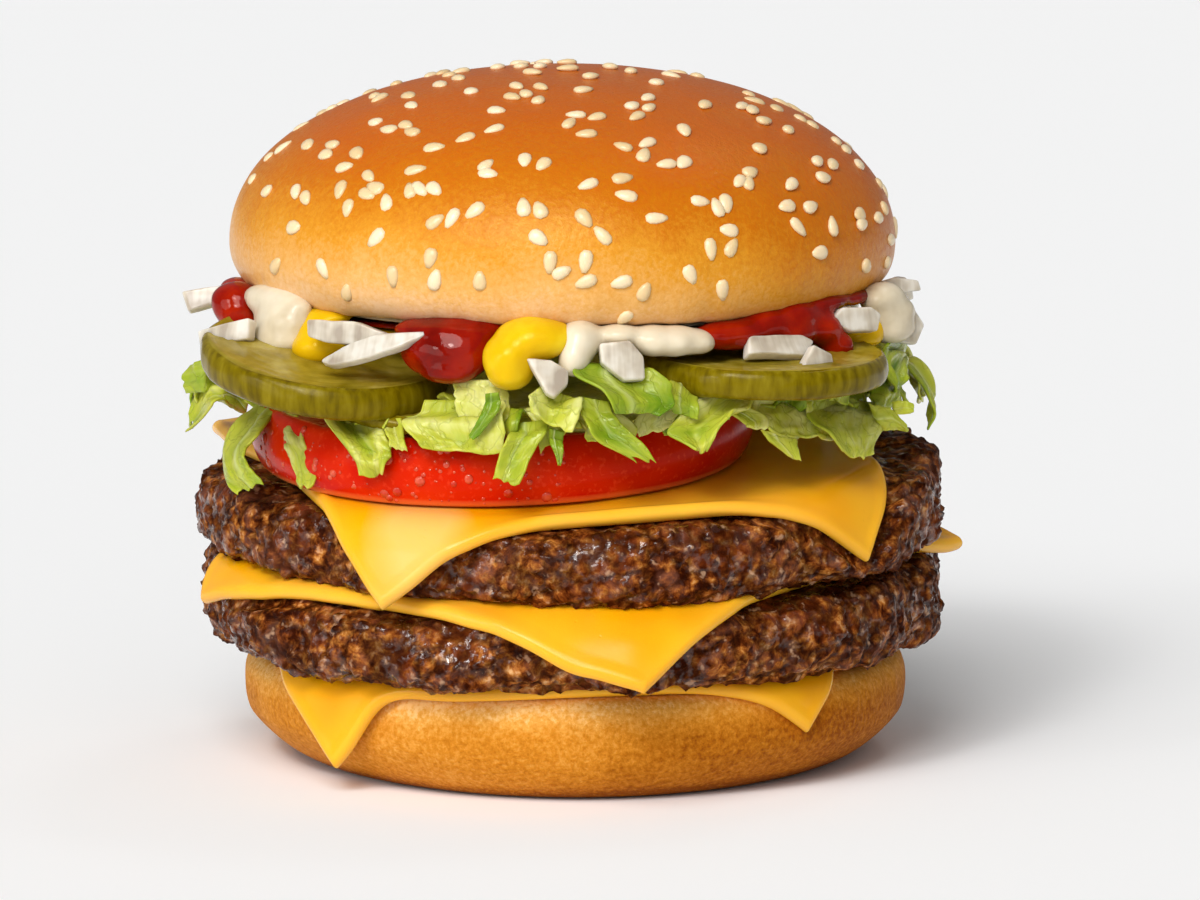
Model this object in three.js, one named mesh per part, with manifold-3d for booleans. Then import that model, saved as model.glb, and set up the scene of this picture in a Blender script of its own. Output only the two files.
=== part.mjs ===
// A double cheeseburger: a seeded bun with two beef patties, three slices of cheese, tomato, shredded lettuce,
// pickle slices, diced onion, ketchup, mayonnaise and mustard.
// Millimetres, +Z up, front towards -Y. The origin is on the surface that the burger stands on, under the bun.
import * as THREE from "three";
import { mergeVertices } from "three/addons/utils/BufferGeometryUtils.js";
import Module from "manifold-3d";

// ---- Driving dimensions -------------------------------------------------------------------------------------

const BUN_RADIUS = 50.3; // widest, of heel and crown
const HEEL_HEIGHT = 16.2;
const CROWN_UNDERSIDE = 71.5; // height of the crown's cut face
const CROWN_WIDEST = 78.4;
const CROWN_TOP = 104.8;
const CROWN_SHIFT = -1; // how far to the right of the middle the crown sits, and the heel
const HEEL_SHIFT = 1;
const GAP = 0.3; // clear space that a piece keeps to the neighbour that shapes it
const LAY = 0.4; // clear space between a layer and the flat layer that it lies on
const CHEESE_THICK = 1.8;
const PATTY_RADIUS = 56.2;
const PATTY_RIM = 4.5; // how far in the rounding of a patty's rim reaches
const PATTY_SAG = 1; // how far the rim hangs below the plane that the patty lies on
const CRAG_SIZE = 6.5; // spacing of the crags on a patty
const CRAG_DEPTH = 1.1;
const TOMATO_RADIUS = 37.5;
const TOMATO_THICK = 10;
const PICKLE_RADIUS = 18.8;
const SEED_LENGTH = 3.2;
const SEED_WIDTH = 1.9;
const SEED_THICK = 1.4;
const SEED_COUNT = 130;
const SEED_SPACING = 4.2; // least distance between the middles of two seeds
const LETTUCE_RADIUS = 45;
const LETTUCE_TOP = 61.8;
const LEAF_THICK = 0.9;
const SAUCE_RADIUS = 40; // of each sauce's spread under the crown
const SAUCE_THICK = 0.75;

// A tilted plane: its height over the origin, and its rise for each millimetre to the right and to the back.
const PATTY_LOWER_TOP = { z: 31.2, x: 0.005, y: 0.04 };
const PATTY_UPPER_TOP = { z: 45.6, x: 0.02, y: 0.07 };

const raised = (plane, height) => ({ ...plane, z: plane.z + height });
const heightAt = (plane, x, y) => plane.z + plane.x * x + plane.y * y;
const level = (z) => ({ z, x: 0, y: 0 });

const CHEESE_STEP = CHEESE_THICK + 2 * LAY;
const PATTY_LOWER_BOTTOM = level(HEEL_HEIGHT + CHEESE_STEP);
const PATTY_UPPER_BOTTOM = raised(PATTY_LOWER_TOP, CHEESE_STEP);
const TOMATO_BOTTOM = raised(PATTY_UPPER_TOP, CHEESE_STEP);
const TOMATO_TOP = raised(TOMATO_BOTTOM, TOMATO_THICK);

// ---- Numbers that repeat ------------------------------------------------------------------------------------

const TURN = 2 * Math.PI;
const rad = THREE.MathUtils.degToRad;
const mix = THREE.MathUtils.lerp;
const smooth = (x) => THREE.MathUtils.smoothstep(x, 0, 1);

// The Park-Miller generator: the same draws on every run.
function dice(seed) {
  let state = seed;
  return () => {
    state = (state * 16807) % 2147483647;
    return state / 2147483647;
  };
}

// Smooth noise from -1 to 1, with one lump for each unit of space.
function noise(x, y, z) {
  const cell = [x, y, z].map(Math.floor);
  const share = [x, y, z].map((v, i) => smooth(v - cell[i]));
  const corner = (i, j, k) => {
    const s = Math.sin((cell[0] + i) * 127.1 + (cell[1] + j) * 311.7 + (cell[2] + k) * 74.7) * 43758.5453;
    return 2 * (s - Math.floor(s)) - 1;
  };
  const row = (j, k) => mix(corner(0, j, k), corner(1, j, k), share[0]);
  return mix(mix(row(0, 0), row(1, 0), share[1]), mix(row(0, 1), row(1, 1), share[1]), share[2]);
}

// ---- Closed meshes and solids -------------------------------------------------------------------------------

const wasm = await Module();
wasm.setup();

// Joins vertices that meet, and drops the faces that a pole or a seam has squeezed to nothing.
function welded(geometry) {
  geometry.deleteAttribute("normal");
  geometry.deleteAttribute("uv");
  const merged = mergeVertices(geometry, 1e-4);
  const index = merged.index.array;
  const kept = [];
  for (let i = 0; i < index.length; i += 3) {
    const [a, b, c] = index.subarray(i, i + 3);
    if (a !== b && b !== c && c !== a) kept.push(a, b, c);
  }
  return merged.setIndex(kept);
}

function solidOf(geometry) {
  const mesh = welded(geometry);
  return new wasm.Manifold(
    new wasm.Mesh({
      numProp: 3,
      vertProperties: new Float32Array(mesh.attributes.position.array),
      triVerts: new Uint32Array(mesh.index.array),
    }),
  );
}

function geometryOf(solid) {
  const mesh = solid.getMesh();
  const position = new Float32Array(mesh.numVert * 3);
  for (let i = 0; i < mesh.numVert; i++)
    position.set(mesh.vertProperties.subarray(i * mesh.numProp, i * mesh.numProp + 3), i * 3);
  return new THREE.BufferGeometry()
    .setAttribute("position", new THREE.BufferAttribute(position, 3))
    .setIndex(new THREE.BufferAttribute(mesh.triVerts, 1));
}

// The solid with its skin moved out, so that what it cuts keeps clear of it.
function grown(solid, distance = GAP) {
  const geometry = geometryOf(solid);
  geometry.computeVertexNormals();
  const { position, normal } = geometry.attributes;
  for (let i = 0; i < position.array.length; i++) position.array[i] += distance * normal.array[i];
  return solidOf(geometry);
}

const joined = (solids) => solids.reduce((whole, one) => whole.add(one));

// The largest of the separate bodies in a mesh.
function largestBody(geometry) {
  const [index, position] = [geometry.index.array, geometry.attributes.position];
  const joins = Array.from({ length: position.count }, (_, i) => i);
  const bodyOf = (i) => {
    while (joins[i] !== i) i = joins[i] = joins[joins[i]];
    return i;
  };
  for (let i = 0; i < index.length; i++) joins[bodyOf(index[i])] = bodyOf(index[i - (i % 3)]);
  const bodies = new Map();
  const point = (i) => new THREE.Vector3().fromBufferAttribute(position, i);
  for (let i = 0; i < index.length; i += 3) {
    const [a, b, c] = index.subarray(i, i + 3);
    const body = bodies.get(bodyOf(a)) ?? { volume: 0, faces: [] };
    body.volume += point(a).dot(point(b).cross(point(c))) / 6;
    body.faces.push(a, b, c);
    bodies.set(bodyOf(a), body);
  }
  const largest = [...bodies.values()].reduce((most, one) => (one.volume > most.volume ? one : most));
  return geometry.setIndex(largest.faces).toNonIndexed();
}

// A solid without the loose scraps that a cut or a join has left.
const tidied = (solid) => solidOf(largestBody(geometryOf(solid)));

// Cuts the grown others out of a solid. A grown skin can dip below the true one in a sharp fold, so both are cut.
const cutClear = (solid, others) =>
  tidied(others.reduce((whole, other) => whole.subtract(grown(other)).subtract(other), solid));

function moved(geometry, change) {
  const position = geometry.attributes.position;
  const point = new THREE.Vector3();
  for (let i = 0; i < position.count; i++) {
    point.fromBufferAttribute(position, i);
    change(point);
    position.setXYZ(i, point.x, point.y, point.z);
  }
  return geometry;
}

// ---- Shapes -------------------------------------------------------------------------------------------------

// A quarter of a superellipse from (r0, z0) on its flat end to (r1, z1) on its upright one.
function quarter([r0, z0], [r1, z1], power, steps, reversed = false) {
  const points = [];
  for (let i = 0; i <= steps; i++) {
    const a = ((reversed ? steps - i : i) / steps) * (Math.PI / 2);
    points.push([
      mix(r0, r1, Math.sin(a) ** (2 / power)),
      mix(z1, z0, Math.cos(a) ** (2 / power)),
    ]);
  }
  return points;
}

// A body turned about the Z axis, from a profile of [radius, height] that runs up from the axis and back to it.
function turned(profile, segments) {
  const points = profile.map(([r, z]) => new THREE.Vector2(r, z));
  return new THREE.LatheGeometry(points, segments).rotateX(Math.PI / 2);
}

// A sheet of even thickness about the surface place(u, v), with u and v from 0 to 1.
function sheet(place, along, across, thickness) {
  const step = 1e-3;
  const positions = [];
  for (const side of [0.5, -0.5])
    for (let i = 0; i <= along; i++)
      for (let j = 0; j <= across; j++) {
        const [u, v] = [i / along, j / across];
        const middle = place(u, v);
        const du = place(u + step, v).sub(place(u - step, v));
        const dv = place(u, v + step).sub(place(u, v - step));
        positions.push(...middle.addScaledVector(du.cross(dv).normalize(), side * thickness));
      }
  const corner = (side, i, j) => (side * (along + 1) + i) * (across + 1) + j;
  const faces = [];
  const quad = (a, b, c, d) => faces.push(a, b, c, a, c, d);
  for (let i = 0; i < along; i++)
    for (let j = 0; j < across; j++) {
      quad(corner(0, i, j), corner(0, i + 1, j), corner(0, i + 1, j + 1), corner(0, i, j + 1));
      // The same diagonal as above, so that both faces are split alike.
      const [a, b, c, d] = [corner(1, i, j), corner(1, i + 1, j), corner(1, i + 1, j + 1), corner(1, i, j + 1)];
      faces.push(a, c, b, a, d, c);
    }
  for (let i = 0; i < along; i++) {
    quad(corner(0, i, 0), corner(1, i, 0), corner(1, i + 1, 0), corner(0, i + 1, 0));
    quad(corner(0, i + 1, across), corner(1, i + 1, across), corner(1, i, across), corner(0, i, across));
  }
  for (let j = 0; j < across; j++) {
    quad(corner(0, 0, j + 1), corner(1, 0, j + 1), corner(1, 0, j), corner(0, 0, j));
    quad(corner(0, along, j), corner(1, along, j), corner(1, along, j + 1), corner(0, along, j + 1));
  }
  return new THREE.BufferGeometry()
    .setAttribute("position", new THREE.Float32BufferAttribute(positions, 3))
    .setIndex(faces);
}

// ---- Bun ----------------------------------------------------------------------------------------------------

// A baked bun isn't quite round.
const bunOutline = (angle, phase) => 1 + 0.006 * Math.sin(2 * angle + phase) + 0.004 * Math.sin(3 * angle - phase);

function outOfRound(geometry, phase, shift) {
  return moved(geometry, (p) => {
    const swell = bunOutline(Math.atan2(p.y, p.x), phase);
    p.x = p.x * swell + shift;
    p.y *= swell;
  });
}

function makeHeel() {
  const [foot, widest, shoulder] = [43, 10.5, 46.5];
  const profile = [
    [0, 0],
    ...quarter([foot, 0], [BUN_RADIUS, widest], 2, 3),
    ...quarter([shoulder, HEEL_HEIGHT], [BUN_RADIUS, widest], 2.4, 3, true).slice(1),
    [0, HEEL_HEIGHT],
  ];
  return solidOf(outOfRound(turned(profile, 32), 1, HEEL_SHIFT));
}

// Radius of the crown's dome at a height, and its height at a radius: a superellipse.
const DOME_POWER = 2.1;

function makeDome(grow = 0) {
  const radius = BUN_RADIUS + grow;
  const profile = [
    [0, CROWN_UNDERSIDE - grow],
    ...quarter([45.5, CROWN_UNDERSIDE - grow], [radius, CROWN_WIDEST], 2, 3),
    ...quarter([0, CROWN_TOP + grow], [radius, CROWN_WIDEST], DOME_POWER, 7, true).slice(1),
  ];
  return solidOf(outOfRound(turned(profile, 32), 2.2, CROWN_SHIFT));
}

// Places on the dome, drawn at random and kept apart, thinner towards the rim.
function seedPlaces() {
  const draw = dice(20240);
  const places = [];
  while (places.length < SEED_COUNT) {
    const lift = mix(0.02, 1, draw()); // sine of the place's height round the dome
    const angle = TURN * draw();
    const turn = TURN * draw();
    const out = Math.sqrt(1 - lift * lift) ** (2 / DOME_POWER);
    const place = new THREE.Vector3(
      BUN_RADIUS * out * Math.cos(angle) + CROWN_SHIFT,
      BUN_RADIUS * out * Math.sin(angle),
      mix(CROWN_WIDEST, CROWN_TOP, lift ** (2 / DOME_POWER)),
    );
    if (places.every((other) => other.place.distanceTo(place) > SEED_SPACING)) places.push({ place, turn });
  }
  return places;
}

// A sesame seed: a flat drop, blunt at one end, half sunk in the crust.
function makeSeed({ place, turn }) {
  const [length, wide] = [SEED_LENGTH / 2, SEED_WIDTH / 2];
  const drop = turned([[0, -length], [wide, -0.3 * length], [0, length]], 4);
  drop.scale(1, SEED_THICK / SEED_WIDTH, 1).rotateX(-Math.PI / 2); // flat side up, long side along Y
  const height = CROWN_TOP - CROWN_WIDEST;
  const slope = (v, size) => Math.sign(v) * Math.abs(v / size) ** (DOME_POWER - 1) / size;
  const out = new THREE.Vector3(
    slope(place.x - CROWN_SHIFT, BUN_RADIUS),
    slope(place.y, BUN_RADIUS),
    slope(place.z - CROWN_WIDEST, height),
  ).normalize();
  const tilt = new THREE.Quaternion().setFromUnitVectors(new THREE.Vector3(0, 0, 1), out);
  drop.rotateZ(turn).applyQuaternion(tilt);
  return solidOf(drop.translate(...place.clone().addScaledVector(out, -0.2)));
}

// ---- Patties ------------------------------------------------------------------------------------------------

// A ground beef patty between two tilted planes, with a rounded, craggy rim.
function makePatty({ bottom, top, phase, shiftX }) {
  const rings = 4;
  const profile = [[0, 0], [0.8, 0]];
  for (let i = 0; i <= rings; i++) {
    const side = -Math.cos((Math.PI * i) / rings); // from -1 at the bottom to 1 at the top
    const bulge = (1 - Math.abs(side) ** 2.6) ** (1 / 2.6);
    profile.push([1 - (PATTY_RIM / PATTY_RADIUS) * (1 - bulge), (1 + side) / 2]);
  }
  profile.push([0.8, 1], [0, 1]);
  const shape = moved(turned(profile, 46), (p) => {
    const [angle, out, share] = [Math.atan2(p.y, p.x), Math.hypot(p.x, p.y), p.z];
    const swell = 1 + 0.012 * Math.sin(2 * angle + phase) + 0.011 * Math.sin(5 * angle - phase);
    const radius = PATTY_RADIUS * swell * out;
    p.x = radius * Math.cos(angle) + shiftX;
    p.y = radius * Math.sin(angle);
    p.z = mix(heightAt(bottom, p.x, p.y), heightAt(top, p.x, p.y), share);
    const crag = noise(p.x / CRAG_SIZE, p.y / CRAG_SIZE, p.z / CRAG_SIZE + phase);
    const rim = smooth((out - 0.8) / 0.15);
    p.x += CRAG_DEPTH * crag * rim * Math.cos(angle);
    p.y += CRAG_DEPTH * crag * rim * Math.sin(angle);
    p.z -= PATTY_SAG * rim * (1 - share) + 0.2 * (1 + crag) * rim * share;
  });
  return solidOf(shape);
}

// ---- Cheese -------------------------------------------------------------------------------------------------

// A square slice laid on a round support. A corner that reaches past the support's edge bends down over it,
// along the line from the middle to that corner: first in an arc of length bend, then straight at its steepest.
function makeCheese({ x, y, side, turn, plane, edge, bend, steepest, wave }) {
  const half = side / 2;
  const spin = (px, py, angle) => [
    px * Math.cos(angle) - py * Math.sin(angle),
    px * Math.sin(angle) + py * Math.cos(angle),
  ];
  const corners = [[1, 1], [-1, 1], [-1, -1], [1, -1]].map(([i, j], k) => {
    const [cx, cy] = spin(i * half, j * half, rad(turn));
    return { angle: Math.atan2(cy + y, cx + x), steep: rad(steepest[k]) };
  });
  // Grid lines lie closer together towards the slice's edges, where it bends.
  const spread = (t) => Math.sign(t - 0.5) * Math.abs(2 * t - 1) ** 0.62;
  const place = (u, v) => {
    const [i, j] = [spread(u), spread(v)];
    const round = 1 - 0.01 * Math.abs(i * j) ** 8;
    const [sx, sy] = spin(i * half * round, j * half * round, rad(turn));
    const [px, py] = [sx + x, sy + y];
    const angle = Math.atan2(py, px);
    const off = (corner) => Math.abs(Math.atan2(Math.sin(angle - corner.angle), Math.cos(angle - corner.angle)));
    const near = corners.reduce((best, corner) => (off(corner) < off(best) ? corner : best));
    const pull = 1 - smooth((off(near) - 0.2) / 0.5);
    const way = new THREE.Vector2(Math.cos(angle), Math.sin(angle)).lerp(
      new THREE.Vector2(Math.cos(near.angle), Math.sin(near.angle)),
      pull,
    ).normalize();
    const [along, aside] = [px * way.x + py * way.y, py * way.x - px * way.y];
    const over = along - Math.sqrt(Math.max(edge * edge - aside * aside, 0));
    const bent = THREE.MathUtils.clamp(over / bend, 0, 1) * near.steep;
    const straight = Math.max(over - bend, 0);
    const curve = bend / near.steep; // radius of the bend
    const reach = along - Math.max(over, 0) + curve * Math.sin(bent) + straight * Math.cos(near.steep);
    const fall = curve * (1 - Math.cos(bent)) + straight * Math.sin(near.steep);
    const [qx, qy] = [way.x * reach - way.y * aside, way.y * reach + way.x * aside];
    const ripple = wave * Math.sin(0.2 * px + 0.13 * py) * smooth(over / bend);
    return new THREE.Vector3(qx, qy, heightAt(plane, qx, qy) + LAY + CHEESE_THICK / 2 - fall + ripple);
  };
  return solidOf(sheet(place, 10, 10, CHEESE_THICK));
}

// ---- Tomato and pickles -------------------------------------------------------------------------------------

// A round slice on a tilted plane, with a skin that bulges between its cut faces.
function makeSlice({ x, y, plane, radius, thick, bulge, segments, phase }) {
  const rings = 3;
  const profile = [[0, 0]];
  for (let i = 0; i <= rings; i++) {
    const share = i / rings;
    profile.push([radius - bulge * (2 * share - 1) ** 2, thick * share]);
  }
  profile.push([0, thick]);
  const shape = moved(turned(profile, segments), (p) => {
    const swell = 1 + 0.015 * Math.sin(2 * Math.atan2(p.y, p.x) + phase);
    p.x = p.x * swell + x;
    p.y = p.y * swell + y;
    p.z += heightAt(plane, p.x, p.y);
  });
  return solidOf(shape);
}

// The plane through a slice's middle height at its own centre.
const tilted = (x, y, z, riseX, riseY) => ({ z: z - riseX * x - riseY * y, x: riseX, y: riseY });

const PICKLES = {
  pickle_front_left: { x: -36.1, y: -29.2, z: 61, riseX: -0.12, riseY: 0.18, thick: 4.8 },
  pickle_front_right: { x: 28.6, y: -32, z: 61.6, riseX: -0.02, riseY: 0.04, thick: 4.3 },
  pickle_back_left: { x: -27, y: 29, z: 62.6, riseX: 0.03, riseY: -0.03, thick: 4.4 },
  pickle_back_right: { x: 26, y: 30, z: 62.5, riseX: -0.02, riseY: -0.02, thick: 4.5 },
  pickle_front_left_lower: { x: -22, y: -26.5, z: 57.2, riseX: -0.1, riseY: 0.13, thick: 2.4 },
};

// ---- Onion --------------------------------------------------------------------------------------------------

// A diced piece of onion: a short stretch of a ring, cut square. Turns are in degrees: heading about Z,
// then pitch, the lift of its right-hand end as seen from outside, and lean, the tip of its face towards the sky.
function makeOnion({ x, y, z, heading, pitch, lean, length, height, thick }) {
  const ring = 1.4 * length; // radius of the ring that the piece was cut from
  const half = length / 2 / ring;
  const outline = new THREE.Shape();
  outline.absarc(0, 0, ring, Math.PI / 2 - half, Math.PI / 2 + half, false);
  outline.absarc(0, 0, ring - thick, Math.PI / 2 + 0.9 * half, Math.PI / 2 - 0.9 * half, true);
  const piece = new THREE.ExtrudeGeometry(outline, { depth: height, bevelEnabled: false, curveSegments: 2, steps: 1 });
  piece.translate(0, -ring + thick / 2, -height / 2).rotateZ(Math.PI);
  piece.rotateX(rad(lean)).rotateY(rad(-pitch)).rotateZ(rad(heading)).translate(x, y, z);
  return solidOf(piece);
}

const ONIONS = [
  { x: -55.2, y: -8, z: 70.9, heading: 5, pitch: 6, lean: -25, length: 8.5, height: 2.6, thick: 4 },
  { x: -51.3, y: -24, z: 68.2, heading: -50, pitch: 18, lean: -20, length: 10, height: 4, thick: 2.4 },
  { x: -34, y: -37.5, z: 69.2, heading: -35, pitch: 2, lean: -10, length: 9.5, height: 3.6, thick: 2.8 },
  { x: -29, y: -43, z: 67.2, heading: -28, pitch: 22, lean: -30, length: 16.5, height: 3.4, thick: 2.4 },
  { x: -3.1, y: -51.5, z: 64, heading: 5, pitch: -48, lean: -20, length: 6.6, height: 4.2, thick: 2.2 },
  { x: 7.6, y: -50, z: 66.8, heading: 8, pitch: -32, lean: -25, length: 7.2, height: 5, thick: 2.4 },
  { x: 31, y: -39, z: 67.6, heading: 38, pitch: -8, lean: -35, length: 10.4, height: 3, thick: 2.4 },
  { x: 38.6, y: -34, z: 66.6, heading: 48, pitch: -30, lean: -30, length: 5.4, height: 4.4, thick: 2.2 },
  { x: 42.6, y: -26.5, z: 69.8, heading: 55, pitch: -4, lean: -15, length: 7.2, height: 3.8, thick: 2.6 },
  { x: 49.6, y: -8, z: 72.4, heading: 70, pitch: -10, lean: -10, length: 8.4, height: 2.8, thick: 2.2 },
  { x: 50.9, y: -14.5, z: 68.4, heading: 66, pitch: 20, lean: -10, length: 6.6, height: 6, thick: 2.2 },
  { x: 50.5, y: 12, z: 69.2, heading: 105, pitch: 15, lean: -20, length: 8, height: 3.6, thick: 2.4 },
  { x: 23, y: 46.5, z: 69.2, heading: 155, pitch: -12, lean: -25, length: 8.4, height: 3.6, thick: 2.4 },
  { x: -14, y: 50.4, z: 69.1, heading: 190, pitch: 10, lean: -20, length: 10, height: 3.4, thick: 2.4 },
  { x: -46, y: 26, z: 69.3, heading: 240, pitch: -12, lean: -25, length: 8, height: 3.6, thick: 2.4 },
];

// ---- Sauces -------------------------------------------------------------------------------------------------

// A rounded blob at a polar place: angle in degrees, distance out and height, then its half sizes.
function makeDollop([angle, out, z, radial, tangential, upright]) {
  const ball = new THREE.SphereGeometry(1, 8, 4).rotateX(Math.PI / 2).scale(radial, tangential, upright);
  return solidOf(ball.translate(out, 0, z).rotateZ(rad(angle)));
}

// Each sauce is a spread that runs right through under the crown, with the dollops that have squeezed out of it.
function makeSauce({ z, dollops }) {
  const spread = solidOf(turned([[0, z], [SAUCE_RADIUS, z], [SAUCE_RADIUS, z + SAUCE_THICK], [0, z + SAUCE_THICK]], 18));
  return joined([spread, ...dollops.map(makeDollop)]);
}

const KETCHUP = {
  z: 69.1,
  dollops: [
    [-172, 44.5, 70.4, 11, 6.2, 4.2],
    [-112, 44, 67, 6, 7.4, 5.4],
    [-55, 42, 69.4, 5.5, 10, 2.6],
    [-36.5, 43.4, 68, 7.4, 5, 5],
    [60, 43.5, 68.2, 5.6, 7, 3.8],
    [130, 43.5, 68.4, 5.8, 8, 3.8],
  ],
};
const MAYONNAISE = {
  z: 70.2,
  dollops: [
    [-147, 45.5, 70, 9.6, 5.8, 5.4],
    [-84, 43.8, 68.4, 5.4, 5.2, 4.6],
    [-69, 43, 69.6, 5.2, 6.8, 2.3],
    [-21, 45, 69.6, 9, 4.6, 4.6],
    [92, 43.5, 68.6, 5.6, 8, 4],
    [160, 44.5, 69, 5.4, 6.4, 4],
  ],
};
const MUSTARD = {
  z: 68,
  dollops: [
    [-133, 44.2, 68.4, 6, 5, 3.8],
    [-98.5, 44.4, 68.2, 6.4, 5.4, 4.8],
    [-28, 44.6, 68.8, 5.8, 3.8, 3.4],
    [34, 43.5, 68.2, 5.4, 6, 3.4],
    [111, 43.8, 67.6, 5.2, 4.6, 3.4],
  ],
};

// ---- Lettuce ------------------------------------------------------------------------------------------------

// Shreds that hang out of the heap. Each leaves it at one angle and ends at another, in degrees, at a distance
// from the axis; then come the heights of its top and its tip, and its width.
const FRONT_SHREDS = [
  [-172, -168, 59, 60.5, 51, 5], [-150, -144, 58.5, 57, 44.5, 5], [-135, -134, 56, 56, 46, 3.6],
  [-126, -123.5, 55.5, 56, 48, 8.5], [-118, -117, 55, 56, 53, 3], [-110, -106, 54, 63, 53.5, 13],
  [-101, -97.5, 55.5, 60, 48.5, 8], [-94, -92, 54, 63, 55, 8], [-87, -76.5, 55.5, 61.5, 52, 5.5],
  [-84, -78, 51.5, 64.5, 58.5, 11], [-71, -70, 54, 62.5, 57.5, 3.5], [-67, -67.5, 54.5, 61, 53, 9],
  [-54, -51, 54.5, 60.5, 51, 11], [-46, -36, 58, 60, 55, 6.5], [-43, -41.5, 57, 58, 49.5, 6.5],
  [-25, -28, 56, 62, 57.5, 5],
];
const BACK_SHREDS = 12;

function backShreds() {
  const draw = dice(77);
  return Array.from({ length: BACK_SHREDS }, (_, i) => {
    const angle = mix(-12, 182, (i + 0.3 + 0.4 * draw()) / BACK_SHREDS);
    return [angle, angle + mix(-6, 6, draw()), mix(55, 59, draw()), mix(58, 62, draw()), mix(48, 57, draw()), mix(4, 9, draw())];
  });
}

const polar = (angle, out, z) => new THREE.Vector3(out * Math.cos(rad(angle)), out * Math.sin(rad(angle)), z);

function makeShred([from, to, out, top, tip, width], index) {
  const route = new THREE.CubicBezierCurve3(
    polar(from, LETTUCE_RADIUS - 3.5, Math.min(top, LETTUCE_TOP - 1.6)),
    polar(from, out, top + 0.4),
    polar(mix(from, to, 0.6), out + 0.5, mix(top, tip, 0.4)),
    polar(to, out, tip),
  );
  const place = (u, v) => {
    const inside = THREE.MathUtils.clamp(u, 0, 1);
    const along = route.getTangent(inside);
    const centre = route.getPoint(inside).addScaledVector(along, 10 * (u - inside));
    const outward = new THREE.Vector3(Math.cos(rad(to)), Math.sin(rad(to)), 0);
    const aside = new THREE.Vector3(0, 0, 1).cross(outward);
    aside.addScaledVector(along, -aside.dot(along)).normalize();
    const face = along.cross(aside);
    const bow = Math.sin(7 * u + index) + 1.2 * Math.sin(5 * v + 2 * index);
    return centre.addScaledVector(aside, (v - 0.5) * width * (1 - 0.4 * u * u)).addScaledVector(face, 0.6 * bow * inside);
  };
  return solidOf(sheet(place, 4, width > 7.5 ? 2 : 1, LEAF_THICK));
}

// The heap: a bumpy core, narrower beside the tomato than on it, with shreds all round.
function makeLettuce(under) {
  const profile = [[0, 0], [0.82, 0], [0.84, 0.45], [1, 0.62], [0.97, 0.85], [0.84, 1], [0, 1]];
  const core = moved(turned(profile, 28), (p) => {
    const [angle, share] = [Math.atan2(p.y, p.x), p.z];
    const radius = LETTUCE_RADIUS * (1 + 0.035 * noise(2.2 * Math.cos(angle), 2.2 * Math.sin(angle), 3 * share));
    p.x = p.x * radius + mix(2, 0, smooth(2 * share));
    p.y = p.y * radius + mix(6, 0, smooth(2 * share));
    p.z = mix(heightAt(under, p.x, p.y), LETTUCE_TOP, share);
  });
  return joined([solidOf(core), ...[...FRONT_SHREDS, ...backShreds()].map(makeShred)]);
}

// ---- Assembly -----------------------------------------------------------------------------------------------

const finish = (colour, roughness) => new THREE.MeshStandardMaterial({ color: colour, roughness, metalness: 0 });
const CRUST = finish(0xc9823a, 0.45);
const HEEL_CRUST = finish(0xd0903f, 0.6);
const BEEF = finish(0x5a3a2a, 0.5);
const CHEESE = finish(0xf9b527, 0.4);
const TOMATO = finish(0xcf2310, 0.25);
const LEAF = finish(0xa9cc4e, 0.45);
const PICKLE = finish(0x7f8220, 0.3);
const ONION = finish(0xe9e6dc, 0.3);
const SAUCES = { ketchup: finish(0xa31a10, 0.2), mayonnaise: finish(0xf3ece0, 0.3), mustard: finish(0xe9c21a, 0.3) };

const burger = new THREE.Group();

function add(name, solid, material) {
  const mesh = new THREE.Mesh(geometryOf(solid), material);
  mesh.name = name;
  burger.add(mesh);
}

// The steepest slopes go with the corners at the back right, back left, front left and front right before the turn.
const cheeseLower = makeCheese({
  x: -3.5, y: -3.5, side: 83, turn: 3.5, plane: level(HEEL_HEIGHT), edge: 46.9, bend: 6, steepest: [60, 72, 84, 86], wave: 0,
});
const cheeseMiddle = makeCheese({
  x: 2.6, y: -10, side: 84.5, turn: 52.2, plane: PATTY_LOWER_TOP, edge: 52.5, bend: 7, steepest: [20, 70, 78, 8], wave: 0.3,
});
const cheeseUpper = makeCheese({
  x: -0.8, y: -9.6, side: 86, turn: 15.5, plane: PATTY_UPPER_TOP, edge: 52, bend: 6, steepest: [40, 8, 62, 84], wave: 0.5,
});
const heel = cutClear(makeHeel(), [cheeseLower]);
const pattyLower = cutClear(
  makePatty({ bottom: PATTY_LOWER_BOTTOM, top: PATTY_LOWER_TOP, phase: 0.4, shiftX: 0.3 }),
  [cheeseLower, cheeseMiddle],
);
const pattyUpper = cutClear(
  makePatty({ bottom: PATTY_UPPER_BOTTOM, top: PATTY_UPPER_TOP, phase: 2.9, shiftX: 0.4 }),
  [cheeseMiddle, cheeseUpper],
);
const tomato = makeSlice({
  x: -10, y: -12, plane: TOMATO_BOTTOM, radius: TOMATO_RADIUS, thick: TOMATO_THICK, bulge: 1.6, segments: 36, phase: 1,
});
const pickles = Object.entries(PICKLES).map(([name, { x, y, z, riseX, riseY, thick }], i) => ({
  name,
  solid: makeSlice({
    x, y, plane: tilted(x, y, z, riseX, riseY), radius: PICKLE_RADIUS, thick, bulge: 0.6, segments: 20, phase: i,
  }),
}));
const dome = makeDome();
const onions = ONIONS.map(makeOnion);
pickles.at(-1).solid = cutClear(pickles.at(-1).solid, [pickles[0].solid, tomato]);
const pickleSolids = pickles.map(({ solid }) => solid);
const onionsCut = onions.map((onion) => cutClear(onion, [dome, ...pickleSolids]));
const ketchup = cutClear(makeSauce(KETCHUP), [dome, ...pickleSolids, ...onionsCut]);
const mayonnaise = cutClear(makeSauce(MAYONNAISE), [dome, ...pickleSolids, ...onionsCut, ketchup]);
const mustard = cutClear(makeSauce(MUSTARD), [dome, ...pickleSolids, ...onionsCut, ketchup, mayonnaise]);
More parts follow.
